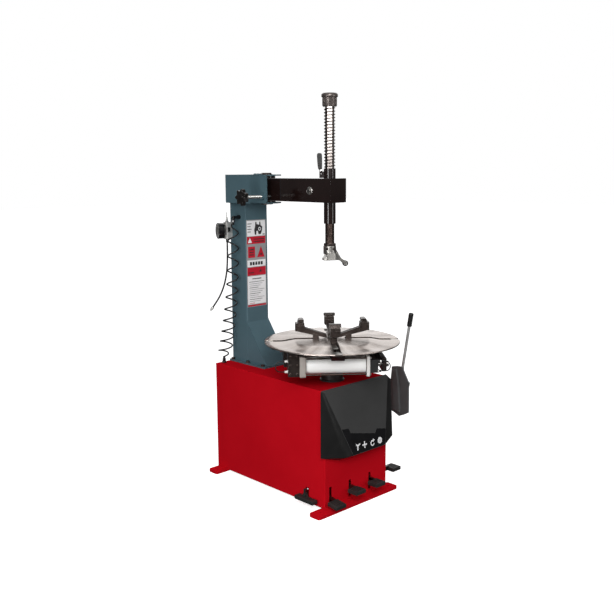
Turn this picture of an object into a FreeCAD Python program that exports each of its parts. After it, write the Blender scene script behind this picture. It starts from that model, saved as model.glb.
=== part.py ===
import FreeCAD, Part

import math
import os

from FreeCAD import Vector, Rotation, Placement

# Swing-arm tire changer. Millimetres, +Z up, machine front towards -Y, operator's right towards +X.
# The origin is on the floor, under the middle of the cabinet.

os.makedirs("parts", exist_ok=True)

# ---- driving dimensions ------------------------------------------------------------------------
CAB_HALF_X, CAB_HALF_Y = 220.0, 415.0        # cabinet half width and half depth
CAB_BOTTOM, CAB_TOP = 8.0, 584.0
SHEET = 4.0                                  # cabinet and column sheet
FOOT_T = 16.0                                # foot bar thickness
AXIS_X = -28.0                               # column, arm and turntable share this centre plane
TABLE_Y = -273.0                             # turntable axis
TABLE_R = 330.0
TABLE_RIM_Z = 783.0                          # rim's upper face
TABLE_PLATE = 6.0
PLATEAU_RISE = 10.0
PLATEAU_HALF = 250.0
PLATEAU_CORNER = 165.0
JAW_ANGLES = {"front": -130.0, "right": -40.0, "back": 50.0, "left": 140.0}
JAW_R = 155.0                                # jaw centre from the turntable axis, at rest
JAW_TRAVEL = 105.0
BAR_TOP = 860.0                              # outer end of the jaws' bars
SLOT_W = 34.0
RAIL_BOTTOM = 746.0
CYL_OFFSET = 178.0                           # clamping cylinder from the turntable axis
CYL_Z = 702.0
CYL_CAP = 100.0
CYL_BARREL_R = 40.0
CYL_FROM, CYL_TO = -171.0, 156.0             # outer faces of the two end caps, along the cylinder
COL_X0, COL_X1 = -103.0, 47.0
COL_Y0, COL_Y1 = 285.0, 415.0
COL_TOP = 1575.0
FLANGE_T = 8.0
HEAD_X0 = -128.0                             # head's left side plate
HEAD_Z0, HEAD_Z1 = 1441.0, 1575.0            # inner faces of the head's two pivot plates
PLATE_T = 6.0
PIVOT_Y = 200.0                              # swing arm pivot
PIVOT_R = 75.0                               # rounded end of the pivot plates
ARM_X0, ARM_X1 = -80.0, 26.0
ARM_Z0, ARM_Z1 = 1450.0, 1564.0
ARM_END_Y = -314.0
ARM_WALL = 6.0
SHAFT_Y = -258.0                             # vertical hexagonal tool shaft
HEX_FLATS = 38.0
HEX_Z0, HEX_Z1 = 1222.0, 1935.0
SLEEVE_R = 28.5
SLEEVE_Z0, SLEEVE_Z1 = 1350.0, 1610.0
SPRING_TOP = 1896.0
SPRING_R, WIRE_R, SPRING_TURNS = 24.75, 2.6, 18
CAP_TOP = 1957.0
SCREW_Y, SCREW_Z = 113.0, 1473.0             # arm limit screw
SCREW_R = 8.0
PIVOT_ARM_X, PIVOT_ARM_Y = 275.0, 330.0      # bead breaker arm pivot
BEAD_REST = 16.0                             # arm's angle from the cabinet side, at rest
BEAD_Z = 434.0
BEAD_LEN = 680.0
BEAD_CYL_Y = 20.0
COVER_BACK = -415.3
RUN = 0.05                                   # radial clearance of a running fit
GAP = 0.4                                    # clearance between bodies that pass each other

UP = Vector(0, 0, 1)
TABLE = Vector(AXIS_X, TABLE_Y, 0)


# ---- helpers -------------------------------------------------------------------------------------
def save(name, *shapes):
    """Writes one sub-part: one solid, or a group of separate solids."""
    shape = shapes[0] if len(shapes) == 1 else Part.makeCompound(list(shapes))
    shape.exportStep("parts/%s.step" % name)


def box(x0, x1, y0, y1, z0, z1):
    return Part.makeBox(x1 - x0, y1 - y0, z1 - z0, Vector(x0, y0, z0))


def rod(start, end, radius):
    start, end = Vector(*start), Vector(*end)
    return Part.makeCylinder(radius, (end - start).Length, start, end - start)


def tube(start, end, outer, inner):
    return rod(start, end, outer).cut(rod(start, end, inner))


def upright(x, y, z0, z1, radius):
    return rod((x, y, z0), (x, y, z1), radius)


def prism(points, direction):
    """A solid from a closed polygon of 3-D points, pushed along a direction."""
    wire = Part.makePolygon([Vector(*p) for p in points] + [Vector(*points[0])])
    return Part.Face(wire).extrude(Vector(*direction))


def hexagon(x, y, z0, z1, flats, turn=0.0):
    corner = flats / 2 / math.cos(math.pi / 6)
    angles = [math.radians(60 * k + turn) for k in range(6)]
    points = [(x + corner * math.cos(a), y + corner * math.sin(a), z0) for a in angles]
    return prism(points, (0, 0, z1 - z0))


def revolve(profile, x, y):
    """A solid of revolution about an upright axis; the profile lists (radius, z)."""
    points = [Vector(x + r, y, z) for r, z in profile]
    face = Part.Face(Part.makePolygon(points + [points[0]]))
    return face.revolve(Vector(x, y, 0), UP, 360)


def faceted(corners, faces):
    """A closed solid from named corners and flat faces given as lists of names."""
    sides = []
    for names in faces:
        points = [Vector(*corners[n]) for n in names]
        sides.append(Part.Face(Part.makePolygon(points + [points[0]])))
    solid = Part.Solid(Part.makeShell(sides))
    if solid.Volume < 0:
        solid.reverse()
    return solid


def turned(shape, degrees, centre, axis=UP):
    copy = shape.copy()
    copy.rotate(Vector(*centre), axis, degrees)
    return copy


def spun(shape, degrees):
    """From the table's own frame, with local +X at the given angle, into the machine's frame."""
    copy = shape.copy()
    copy.Placement = Placement(TABLE, Rotation(UP, degrees)).multiply(copy.Placement)
    return copy


def soft(shape, radius, pick):
    """Rounds the edges for which pick(edge) is true."""
    return shape.makeFillet(radius, [e for e in shape.Edges if pick(e)])


def along(edge, axis):
    """True for a straight edge parallel to one of the axes, named 'x', 'y' or 'z'."""
    if len(edge.Vertexes) < 2:
        return False
    run = edge.Vertexes[1].Point - edge.Vertexes[0].Point
    return abs(abs(getattr(run, axis)) - run.Length) < 1e-6


def hose(name, points, diameter, inner=0.0):
    """A tube of straight runs and tangent arcs through hand-picked points."""
    points = [Vector(*p) for p in points]
    edges, start, radii = [], points[0], []
    for before, corner, after in zip(points, points[1:], points[2:]):
        to_next, to_last = (after - corner).normalize(), (before - corner).normalize()
        half_turn = (math.pi - to_next.getAngle(to_last)) / 2
        cut = 0.45 * min((corner - before).Length, (after - corner).Length)
        radii.append(cut / math.tan(half_turn))
        enter, leave = corner + to_last * cut, corner + to_next * cut
        middle = (to_next + to_last).normalize()
        centre_distance = radii[-1] / math.cos(half_turn)
        top = corner + middle * (centre_distance - radii[-1])
        edges += [Part.LineSegment(start, enter).toShape(), Part.Arc(enter, top, leave).toShape()]
        start = leave
    edges.append(Part.LineSegment(start, points[-1]).toShape())
    path = Part.Wire(edges)
    ring = Part.Wire(Part.makeCircle(diameter / 2, points[0], points[1] - points[0]))
    body = path.makePipeShell([ring], True, False)
    if inner:
        bore = Part.Wire(Part.makeCircle(inner / 2, points[0], points[1] - points[0]))
        body = body.cut(path.makePipeShell([bore], True, False))
    expected = math.pi * (diameter ** 2 - inner ** 2) / 4 * path.Length
    print("%s: length %.0f, smallest radius %.0f, volume ratio %.3f"
          % (name, path.Length, min(radii), body.Volume / expected))
    save(name, body)
    return path.Length


# ---- cabinet --------------------------------------------------------------------------------------
PEDALS_X = (-192.0, -57.0, 86.0)             # middles of the three front pedal pads
LEVER_SIDE = 10.0                            # lever's offset from its pad's middle
PEDAL_PIVOT_Y, PEDAL_PIVOT_Z = -250.0, 75.0
FRONT_REACH, RIGHT_REACH = 190.0, 150.0      # from a pedal's pivot to its pad
RIGHT_PIVOT_X = 125.0
LEFT_PIVOT_X, LEFT_PIVOT_Z = -198.0, 56.0
LEFT_PEDAL_Y, RIGHT_PEDAL_Y = -294.0, -375.0
FOOT_Y = {"front": (-475.0, -405.0), "rear": (325.0, 395.0)}
FOOT_X = {"front": (-318.0, 242.0), "rear": (-300.0, 300.0)}
ANCHOR_R = 7.0


def base_frame():
    bars = []
    for place in ("front", "rear"):
        (x0, x1), (y0, y1) = FOOT_X[place], FOOT_Y[place]
        bar = box(x0, x1, y0, y1, 0, FOOT_T)
        bar = soft(bar, 12, lambda e: along(e, "z"))
        middle = (y0 + y1) / 2
        holes = [-270.0, 205.0] if place == "front" else [-265.0, 265.0]
        for x in holes:
            bar = bar.cut(upright(x, middle, -1, FOOT_T + 1, ANCHOR_R))
        bars.append(bar)
    frame = bars[0].fuse(bars[1]).fuse(box(-205, 205, -35, 35, 0, FOOT_T))
    for side in (-1, 1):
        frame = frame.fuse(box(min(side * 175, side * 205), max(side * 175, side * 205), -410, 330, 0, FOOT_T))
    for part in motor_stand() + cylinder_mounts() + pedal_ears():
        frame = frame.fuse(part)
    save("base_frame", frame.removeSplitter())


def under_feet(shape):
    """Notches a panel where the foot bars pass under it."""
    for place in ("front", "rear"):
        (x0, x1), (y0, y1) = FOOT_X[place], FOOT_Y[place]
        shape = shape.cut(box(x0, x1, y0 - 0.01, y1, 0, FOOT_T))
    return shape


def cabinet():
    outer = box(-CAB_HALF_X + SHEET, CAB_HALF_X, -CAB_HALF_Y, CAB_HALF_Y, CAB_BOTTOM, CAB_TOP)
    outer = soft(outer, 5, lambda e: e.CenterOfMass.x > 0 and e.CenterOfMass.z > 20
                 and not along(e, "x") or (along(e, "x") and e.CenterOfMass.z > 500))
    inner = box(-CAB_HALF_X, CAB_HALF_X - SHEET, -CAB_HALF_Y + SHEET, CAB_HALF_Y - SHEET,
                0, CAB_TOP - SHEET)
    body = outer.cut(inner)
    body = body.cut(upright(AXIS_X, TABLE_Y, 570, 600, 40))
    for x in PEDALS_X:
        body = body.cut(box(x + LEVER_SIDE - 9, x + LEVER_SIDE + 9, -420, -405, 24, 110))
    body = body.cut(box(210, 225, RIGHT_PEDAL_Y - 9, RIGHT_PEDAL_Y + 9, 40, 100))
    body = body.cut(rod((210, BEAD_CYL_Y, BEAD_Z), (225, BEAD_CYL_Y, BEAD_Z), 16))
    save("cabinet_body", under_feet(body))

    panel = box(-CAB_HALF_X, -CAB_HALF_X + SHEET - 0.01, -CAB_HALF_Y, CAB_HALF_Y, CAB_BOTTOM, CAB_TOP)
    panel = soft(panel, 3, lambda e: e.CenterOfMass.x < -CAB_HALF_X + 0.001 and e.CenterOfMass.z > 20)
    panel = panel.cut(box(-225, -210, LEFT_PEDAL_Y - 10, LEFT_PEDAL_Y + 10, 20, 84))
    save("left_side_panel", under_feet(panel))

    pad = box(CAB_HALF_X, CAB_HALF_X + 15, -345, -135, 170, 480)
    pad = soft(pad, 5, lambda e: e.CenterOfMass.x > CAB_HALF_X + 7)
    for k in range(9):
        z = 200 + 31 * k
        pad = pad.cut(box(CAB_HALF_X + 12, CAB_HALF_X + 16, -335, -145, z, z + 6))
    save("wheel_support_pad", pad)


def front_cover():
    corners = {
        "b0": (-249, COVER_BACK, 595), "b1": (210, COVER_BACK, 595), "b2": (250, COVER_BACK, 562),
        "b3": (250, COVER_BACK, 262), "b4": (170, COVER_BACK, 230), "b5": (-130, COVER_BACK, 230),
        "b6": (-249, COVER_BACK, 267), "f0": (-232, -425, 586), "f1": (213, -425, 586),
        "r": (241, -438, 274), "f2": (149, -470, 254), "f3": (-82, -470, 254), "f4": (-134, -455, 252)}
    faces = [["b0", "b1", "b2", "b3", "b4", "b5", "b6"], ["b0", "b1", "f1", "f0"], ["b1", "b2", "f1"],
             ["b2", "r", "f1"], ["b2", "b3", "r"], ["f1", "r", "f2"], ["r", "b3", "f2"],
             ["b3", "b4", "f2"], ["f0", "f1", "f2", "f3"], ["f2", "b4", "b5", "f3"],
             ["f3", "b5", "f4"], ["f4", "b5", "b6"], ["f0", "f3", "f4"], ["b0", "f0", "f4"],
             ["b0", "f4", "b6"]]
    middle = Vector(0, COVER_BACK, 420)
    shrink = (0.975, 0.86, 0.965)
    hollow = {}
    for name, point in corners.items():
        from_middle = Vector(*point) - middle
        back = 1.0 if name.startswith("b") else 0.0
        hollow[name] = (middle.x + from_middle.x * shrink[0],
                        middle.y + from_middle.y * shrink[1] + back,
                        middle.z + from_middle.z * shrink[2])
    save("front_cover", faceted(corners, faces).cut(faceted(hollow, faces)))


# ---- column and head --------------------------------------------------------------------------------
def column():
    outline = [(COL_X0, COL_Y1, CAB_TOP + FLANGE_T), (COL_X0, 130, CAB_TOP + FLANGE_T),
               (COL_X0, COL_Y0, 808), (COL_X0, COL_Y0, COL_TOP), (COL_X0, COL_Y1, COL_TOP)]
    inner = [(COL_X0 + SHEET, COL_Y1 - SHEET, CAB_TOP + FLANGE_T - 1),
             (COL_X0 + SHEET, 130 + 1.7 * SHEET, CAB_TOP + FLANGE_T - 1),
             (COL_X0 + SHEET, COL_Y0 + SHEET, 808 + SHEET / 2), (COL_X0 + SHEET, COL_Y0 + SHEET, COL_TOP + 1),
             (COL_X0 + SHEET, COL_Y1 - SHEET, COL_TOP + 1)]
    width = COL_X1 - COL_X0
    body = prism(outline, (width, 0, 0))
    body = soft(body, 6, lambda e: along(e, "z") and e.Length > 300)
    body = body.cut(prism(inner, (width - 2 * SHEET, 0, 0)))
    lower = box(HEAD_X0, COL_X1 + 25, COL_Y0 - 20, COL_Y1, HEAD_Z0 - PLATE_T, HEAD_Z0)
    body = body.cut(lower)

    flange = box(-128, 72, 123, COL_Y1, CAB_TOP, CAB_TOP + FLANGE_T)
    flange = soft(flange, 8, lambda e: along(e, "z"))
    spots = [(-116, 150), (60, 150), (-116, 270), (60, 270), (-116, 395), (60, 395)]
    bolts = []
    for x, y in spots:
        flange = flange.cut(upright(x, y, 580, 600, 6.5))
        shank = upright(x, y, CAB_TOP, CAB_TOP + FLANGE_T, 6.4)
        washer = upright(x, y, CAB_TOP + FLANGE_T, CAB_TOP + FLANGE_T + 2, 11)
        head = hexagon(x, y, CAB_TOP + FLANGE_T + 2, CAB_TOP + FLANGE_T + 10, 18)
        bolts.append(shank.fuse(washer).fuse(head))
    save("column", body.fuse(flange))

    def tongue(z0, z1):
        back = box(HEAD_X0, COL_X1 + 25, COL_Y0 - 40, COL_Y1, z0, z1)
        neck = box(AXIS_X - PIVOT_R, AXIS_X + PIVOT_R, PIVOT_Y, COL_Y0, z0, z1)
        end = upright(AXIS_X, PIVOT_Y, z0, z1, PIVOT_R)
        left = box(HEAD_X0, AXIS_X, PIVOT_Y + 20, COL_Y0, z0, z1)
        return back.fuse(neck).fuse(end).fuse(left).removeSplitter()

    top = tongue(HEAD_Z1, HEAD_Z1 + PLATE_T)
    bottom = tongue(HEAD_Z0 - PLATE_T, HEAD_Z0)
    side = box(HEAD_X0, HEAD_X0 + PLATE_T, 87, COL_Y1, HEAD_Z0, HEAD_Z1)
    side = soft(side, 10, lambda e: along(e, "x") and e.CenterOfMass.y < 100)
    side = side.cut(rod((HEAD_X0 - 1, SCREW_Y, SCREW_Z), (HEAD_X0 + PLATE_T + 1, SCREW_Y, SCREW_Z), SCREW_R + 0.5))
    screw_nut = rod((HEAD_X0 - 14, SCREW_Y, SCREW_Z), (HEAD_X0, SCREW_Y, SCREW_Z), 15)
    screw_nut = screw_nut.cut(rod((HEAD_X0 - 15, SCREW_Y, SCREW_Z), (HEAD_X0 + 1, SCREW_Y, SCREW_Z),
                                  SCREW_R + RUN))
    head = top.fuse(bottom).fuse(side).fuse(screw_nut)
    head = head.cut(upright(AXIS_X, PIVOT_Y, HEAD_Z0 - 20, HEAD_Z1 + 20, 22))
    inside = box(COL_X0, COL_X1, COL_Y0, COL_Y1, HEAD_Z0, HEAD_Z1)
    save("head_bracket", head.cut(inside).removeSplitter())

    pin = upright(AXIS_X, PIVOT_Y, HEAD_Z0 - PLATE_T, HEAD_Z1 + PLATE_T, 22)
    flat = upright(AXIS_X, PIVOT_Y, HEAD_Z0 - PLATE_T - 6, HEAD_Z0 - PLATE_T, 32)
    nut = hexagon(AXIS_X, PIVOT_Y, HEAD_Z1 + PLATE_T + 3, HEAD_Z1 + PLATE_T + 9, 46)
    washer = upright(AXIS_X, PIVOT_Y, HEAD_Z1 + PLATE_T, HEAD_Z1 + PLATE_T + 3, 30)
    save("column_fasteners", pin.fuse(flat).fuse(nut).fuse(washer), *bolts)


# ---- limit screw ------------------------------------------------------------------------------------
KNOB_X0, KNOB_X1 = -275.0, -252.0


def limit_screw():
    tip = ARM_X0 - GAP
    save("limit_screw", rod((KNOB_X1, SCREW_Y, SCREW_Z), (tip, SCREW_Y, SCREW_Z), SCREW_R))
    knob = rod((KNOB_X0, SCREW_Y, SCREW_Z), (KNOB_X1, SCREW_Y, SCREW_Z), 34)
    for k in range(7):
        a = math.radians(360 / 7 * k)
        y, z = SCREW_Y + 33 * math.cos(a), SCREW_Z + 33 * math.sin(a)
        knob = knob.fuse(rod((KNOB_X0, y, z), (KNOB_X1, y, z), 9.5))
    knob = knob.removeSplitter()
    hub = rod((KNOB_X1, SCREW_Y, SCREW_Z), (KNOB_X1 + 12, SCREW_Y, SCREW_Z), 14)
    socket = rod((KNOB_X1, SCREW_Y, SCREW_Z), (KNOB_X1 + 13, SCREW_Y, SCREW_Z), SCREW_R + RUN)
    save("limit_knob", knob.fuse(hub.cut(socket)))


# ---- swing arm --------------------------------------------------------------------------------------
BOSS_R = 46.0


def swing_arm():
    outer = box(ARM_X0, ARM_X1, ARM_END_Y, PIVOT_Y, ARM_Z0, ARM_Z1)
    outer = soft(outer, 5, lambda e: along(e, "y"))
    inner = box(ARM_X0 + ARM_WALL, ARM_X1 - ARM_WALL, ARM_END_Y + ARM_WALL, PIVOT_Y - 70,
                ARM_Z0 + ARM_WALL, ARM_Z1 - ARM_WALL)
    half = (ARM_X1 - ARM_X0) / 2
    end = upright((ARM_X0 + ARM_X1) / 2, PIVOT_Y, ARM_Z0, ARM_Z1, half)
    boss = upright(AXIS_X, PIVOT_Y, HEAD_Z0 + GAP, HEAD_Z1 - GAP, BOSS_R)
    arm = outer.cut(inner).fuse(end).fuse(boss)
    arm = arm.cut(upright(AXIS_X, PIVOT_Y, HEAD_Z0 - 5, HEAD_Z1 + 5, 22 + RUN))
    arm = arm.cut(upright(AXIS_X, SHAFT_Y, ARM_Z0 - 5, ARM_Z1 + 5, SLEEVE_R))
    arm = arm.cut(rod((ARM_X0 - 1, -175, 1505), (ARM_X0 + 20, -175, 1505), 10))
    save("swing_arm", arm.removeSplitter())

    sleeve = tube((AXIS_X, SHAFT_Y, SLEEVE_Z0), (AXIS_X, SHAFT_Y, SLEEVE_Z1), SLEEVE_R,
                  HEX_FLATS / math.sqrt(3) + RUN)
    bracket, pin = lock_lever()
    save("shaft_sleeve", sleeve.fuse(bracket).removeSplitter())
    shank = rod((ARM_X0, -175, 1505), (ARM_X0 + 18, -175, 1505), 9.9)
    head = rod((ARM_X0 - 9, -175, 1505), (ARM_X0, -175, 1505), 19)
    head = soft(head, 3, lambda e: e.CenterOfMass.x < ARM_X0 - 8)
    save("arm_fasteners", shank.fuse(head), pin)


# ---- lock lever, on the sleeve's outer side -----------------------------------------------------------
LOCK_ANGLE = 136.0
LOCK_R, LOCK_Z = 41.0, 1588.0


def lock_lever():
    """Writes the lever and returns its bracket and pin, which belong to the arm."""
    def placed(shape):
        copy = shape.copy()
        copy.Placement = Placement(Vector(AXIS_X, SHAFT_Y, 0), Rotation(UP, LOCK_ANGLE)).multiply(copy.Placement)
        return copy

    ears = []
    for side in (-1, 1):
        y0, y1 = sorted((side * 7.5, side * 12.5))
        ear = box(SLEEVE_R - 2, LOCK_R + 8, y0, y1, LOCK_Z - 22, LOCK_Z + 8)
        ears.append(ear.cut(rod((LOCK_R, -20, LOCK_Z), (LOCK_R, 20, LOCK_Z), 4)))
    bracket = ears[0].fuse(ears[1]).fuse(box(SLEEVE_R - 2, SLEEVE_R + 5, -12.5, 12.5, LOCK_Z - 22, LOCK_Z - 10))
    bracket = bracket.cut(upright(0, 0, LOCK_Z - 40, LOCK_Z + 40, SLEEVE_R))
    pin = placed(rod((LOCK_R, -15, LOCK_Z), (LOCK_R, 15, LOCK_Z), 4))
    lever = rod((LOCK_R, -7, LOCK_Z), (LOCK_R, 7, LOCK_Z), 7.5)
    stem = prism([(LOCK_R - 5, -5, LOCK_Z), (LOCK_R + 5, -5, LOCK_Z), (LOCK_R + 10, -5, LOCK_Z + 19),
                  (LOCK_R - 1, -5, LOCK_Z + 19)], (0, 10, 0))
    lever = lever.fuse(stem).cut(rod((LOCK_R, -20, LOCK_Z), (LOCK_R, 20, LOCK_Z), 4 + RUN))
    grip = prism([(LOCK_R - 5, -9, LOCK_Z + 19), (LOCK_R + 13, -9, LOCK_Z + 19),
                  (LOCK_R + 19, -9, LOCK_Z + 94), (LOCK_R - 5, -9, LOCK_Z + 94)], (0, 18, 0))
    save("lock_lever", placed(lever), placed(soft(grip, 4, lambda e: True)))
    return placed(bracket), pin


# ---- tool shaft: hexagonal bar, spring, cap and mount head ----------------------------------------------
ROLLER_X, ROLLER_Z = 77.0, -9.0              # roller pin, from the shaft's axis and the head's foot
HEAD_TURN = -32.0                            # the mount head's nose points this way from +X


def tool_shaft():
    save("hex_shaft", hexagon(AXIS_X, SHAFT_Y, HEX_Z0, HEX_Z1, HEX_FLATS, 16.0))
    cap = revolve([(0, SPRING_TOP), (34, SPRING_TOP), (34, 1938), (39.5, 1941), (39.5, 1951),
                   (34, CAP_TOP), (0, CAP_TOP)], AXIS_X, SHAFT_Y)
    corner = hexagon(AXIS_X, SHAFT_Y, SPRING_TOP - 1, HEX_Z1, HEX_FLATS, 16.0)
    save("shaft_cap", cap.cut(corner))
    height = SPRING_TOP - SLEEVE_Z1 - 2 * WIRE_R - 2 * GAP
    pitch = height / SPRING_TURNS
    coil = Part.makeHelix(pitch, height, SPRING_R)
    ring = Part.Wire(Part.makeCircle(WIRE_R, Vector(SPRING_R, 0, 0), Vector(0, 1, pitch / (2 * math.pi * SPRING_R))))
    spring = Part.Wire(coil.Edges).makePipeShell([ring], True, True)
    spring.translate(Vector(AXIS_X, SHAFT_Y, SLEEVE_Z1 + WIRE_R + GAP))
    save("shaft_spring", spring)

    ring = revolve([(18, 1244), (29, 1244), (29, 1256), (18, 1256)], AXIS_X, SHAFT_Y)
    ring = ring.cut(hexagon(AXIS_X, SHAFT_Y, 1240, 1260, HEX_FLATS, 16.0))
    collar = revolve([(0, 1205), (31, 1205), (31, 1244), (0, 1244)], AXIS_X, SHAFT_Y)
    side = [(-40, 14), (-36, 19), (-28, 26), (-18, 42), (16, 46), (36, 34), (51, 21), (66, 10), (80, 2),
            (86, -4), (86, -14), (80, -18), (70, -16), (60, -4), (51, 5), (36, 9), (0, 10), (-38, 10)]
    profile = prism([(x, -60, z) for x, z in side], (0, 120, 0))
    wing = prism([(-36, -34, -30), (-22, -40, -30), (20, -30, -30), (52, -13, -30), (88, -9, -30),
                  (88, 9, -30), (52, 13, -30), (20, 24, -30), (-22, 22, -30), (-36, 12, -30)],
                 (0, 0, 90)).common(profile)
    wing = wing.fuse(prism([(24, -7, 30), (24, -7, 62), (31, -7, 60), (54, -7, 20), (46, -7, 10)], (0, 14, 0)))
    wing = wing.cut(box(61, 100, -5.4, 5.4, -30, 20))
    for y0, y1 in ((-20, -5), (5, 20)):
        wing = wing.cut(rod((ROLLER_X, y0, ROLLER_Z), (ROLLER_X, y1, ROLLER_Z), 3))
    wing.Placement = Placement(Vector(AXIS_X, SHAFT_Y, 1166), Rotation(UP, HEAD_TURN))
    head = collar.fuse(wing).cut(hexagon(AXIS_X, SHAFT_Y, HEX_Z0, 1250, HEX_FLATS, 16.0))
    screws = []
    for a in (200.0, 260.0):
        d = Vector(math.cos(math.radians(a)), math.sin(math.radians(a)), 0)
        start = Vector(AXIS_X, SHAFT_Y, 1230) + d * 23.5
        head = head.cut(Part.makeCylinder(4, 20, start, d))
        screw = Part.makeCylinder(4, 10, start, d)
        screws.append(screw.fuse(Part.makeCylinder(6, 5, start + d * 8, d).cut(collar)))
    save("mount_head", head.removeSplitter())
    turn = Placement(Vector(AXIS_X, SHAFT_Y, 1166), Rotation(UP, HEAD_TURN))
    pin = rod((ROLLER_X, -9, ROLLER_Z), (ROLLER_X, 9, ROLLER_Z), 3)
    roller = tube((ROLLER_X, -5, ROLLER_Z), (ROLLER_X, 5, ROLLER_Z), 14, 3 + RUN)
    pin.Placement = turn.multiply(pin.Placement)
    roller.Placement = turn.multiply(roller.Placement)
    save("head_fasteners", ring, pin, *screws)
    save("head_roller", roller)


# ---- turntable --------------------------------------------------------------------------------------
SHAFT_R = 34.0
HUB_R = 100.0


def turntable():
    disc = upright(0, 0, TABLE_RIM_Z - TABLE_PLATE, TABLE_RIM_Z, TABLE_R)
    disc = soft(disc, 2.5, lambda e: e.CenterOfMass.z > TABLE_RIM_Z - 1)
    half = PLATEAU_HALF
    plateau = box(-half, half, -half, half, TABLE_RIM_Z - 1, TABLE_RIM_Z + PLATEAU_RISE)
    plateau = soft(plateau, PLATEAU_CORNER, lambda e: along(e, "z"))
    plateau = soft(plateau, 8, lambda e: e.CenterOfMass.z > TABLE_RIM_Z + PLATEAU_RISE - 0.1)
    disc = disc.fuse(plateau)
    for k in range(4):
        slot = box(62, TABLE_R + 5, -SLOT_W / 2, SLOT_W / 2, 760, 800)
        disc = disc.cut(turned(slot, 90 * k, (0, 0, 0)))
    save("turntable_disc", spun(disc.removeSplitter(), JAW_ANGLES["right"]))

    top = TABLE_RIM_Z - TABLE_PLATE
    hub = upright(0, 0, RAIL_BOTTOM, top, HUB_R)
    for k in range(4):
        rails = box(50, TABLE_R - 8, -SLOT_W / 2 - 13, SLOT_W / 2 + 13, RAIL_BOTTOM, top)
        hub = hub.fuse(turned(rails, 90 * k, (0, 0, 0)))
    for k in range(4):
        slot = box(62, TABLE_R + 5, -SLOT_W / 2, SLOT_W / 2, 700, 800)
        hub = hub.cut(turned(slot, 90 * k, (0, 0, 0)))
    for k in range(4):
        floor = box(232, 292, -SLOT_W / 2, SLOT_W / 2, 768, 774)
        stop = box(290, TABLE_R - 8, -SLOT_W / 2, SLOT_W / 2, RAIL_BOTTOM, TABLE_RIM_Z - 2)
        hub = hub.fuse(turned(floor.fuse(stop), 90 * k, (0, 0, 0)))
    shaft = upright(0, 0, 430, RAIL_BOTTOM, SHAFT_R)
    save("turntable_frame", spun(hub.fuse(shaft).removeSplitter(), JAW_ANGLES["right"]))
    collar = revolve([(SHAFT_R + 1, CAB_TOP), (60, CAB_TOP), (60, CAB_TOP + 6), (54, CAB_TOP + 10),
                      (54, CAB_TOP + 36), (SHAFT_R + 1, CAB_TOP + 36)], AXIS_X, TABLE_Y)
    save("shaft_collar", collar)


def jaw_slide(name, drives_cylinder):
    """A carriage in the table's slot, with the inclined grooved bar on top of it."""
    low = 655.0 if drives_cylinder else RAIL_BOTTOM
    side = SLOT_W / 2 - GAP
    neck = prism([(66, -side, low), (94, -side, low), (94, -side, 819), (66, -side, 812)], (0, 2 * side, 0))
    bar = prism([(27, -16, 797), (178, -16, 833), (178, -16, BAR_TOP), (140, -16, BAR_TOP - 8),
                 (27, -16, 813)], (0, 32, 0))
    groove = prism([(20, -7, 806), (134, -7, 842), (134, -7, 900), (20, -7, 900)], (0, 14, 0))
    slide = neck.fuse(bar.cut(groove)).fuse(box(134, 180, -24, 24, 833, BAR_TOP))
    if drives_cylinder:
        top = RAIL_BOTTOM - 8
        plate = box(171, 224, -side, CYL_OFFSET + 24, 652, top)
        slide = slide.fuse(box(66, 238, -side, side, low, top)).fuse(plate)
        slide = slide.fuse(box(171, 224, 42, CYL_OFFSET + 24, top, 762))
        slide = slide.fuse(box(216, 238, -CYL_OFFSET - 24, side, 672, 732))
        slide = slide.cut(rod((200, -CYL_OFFSET, CYL_Z), (250, -CYL_OFFSET, CYL_Z), 10))
    save("jaw_slide_" + name, spun(slide.removeSplitter(), JAW_ANGLES[name]))

    base = box(136, 180, -24, 24, 0, 13)
    neck = prism([(146, -21, 0), (172, -21, 0), (167, -21, 22), (143, -21, 22)], (0, 42, 0))
    tip = prism([(143, -28, 17), (168, -28, 17), (166, -28, 28), (161, -28, 32), (143, -28, 32),
                 (138, -28, 28), (138, -28, 21)], (0, 56, 0))
    head = base.fuse(neck).fuse(tip)
    for z in (19.5, 23.0, 26.5):
        head = head.cut(box(125, 140.5, -30, 30, z, z + 1.8))
    head.translate(Vector(0, 0, BAR_TOP))
    save("jaw_" + name, spun(head.removeSplitter(), JAW_ANGLES[name]))


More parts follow.
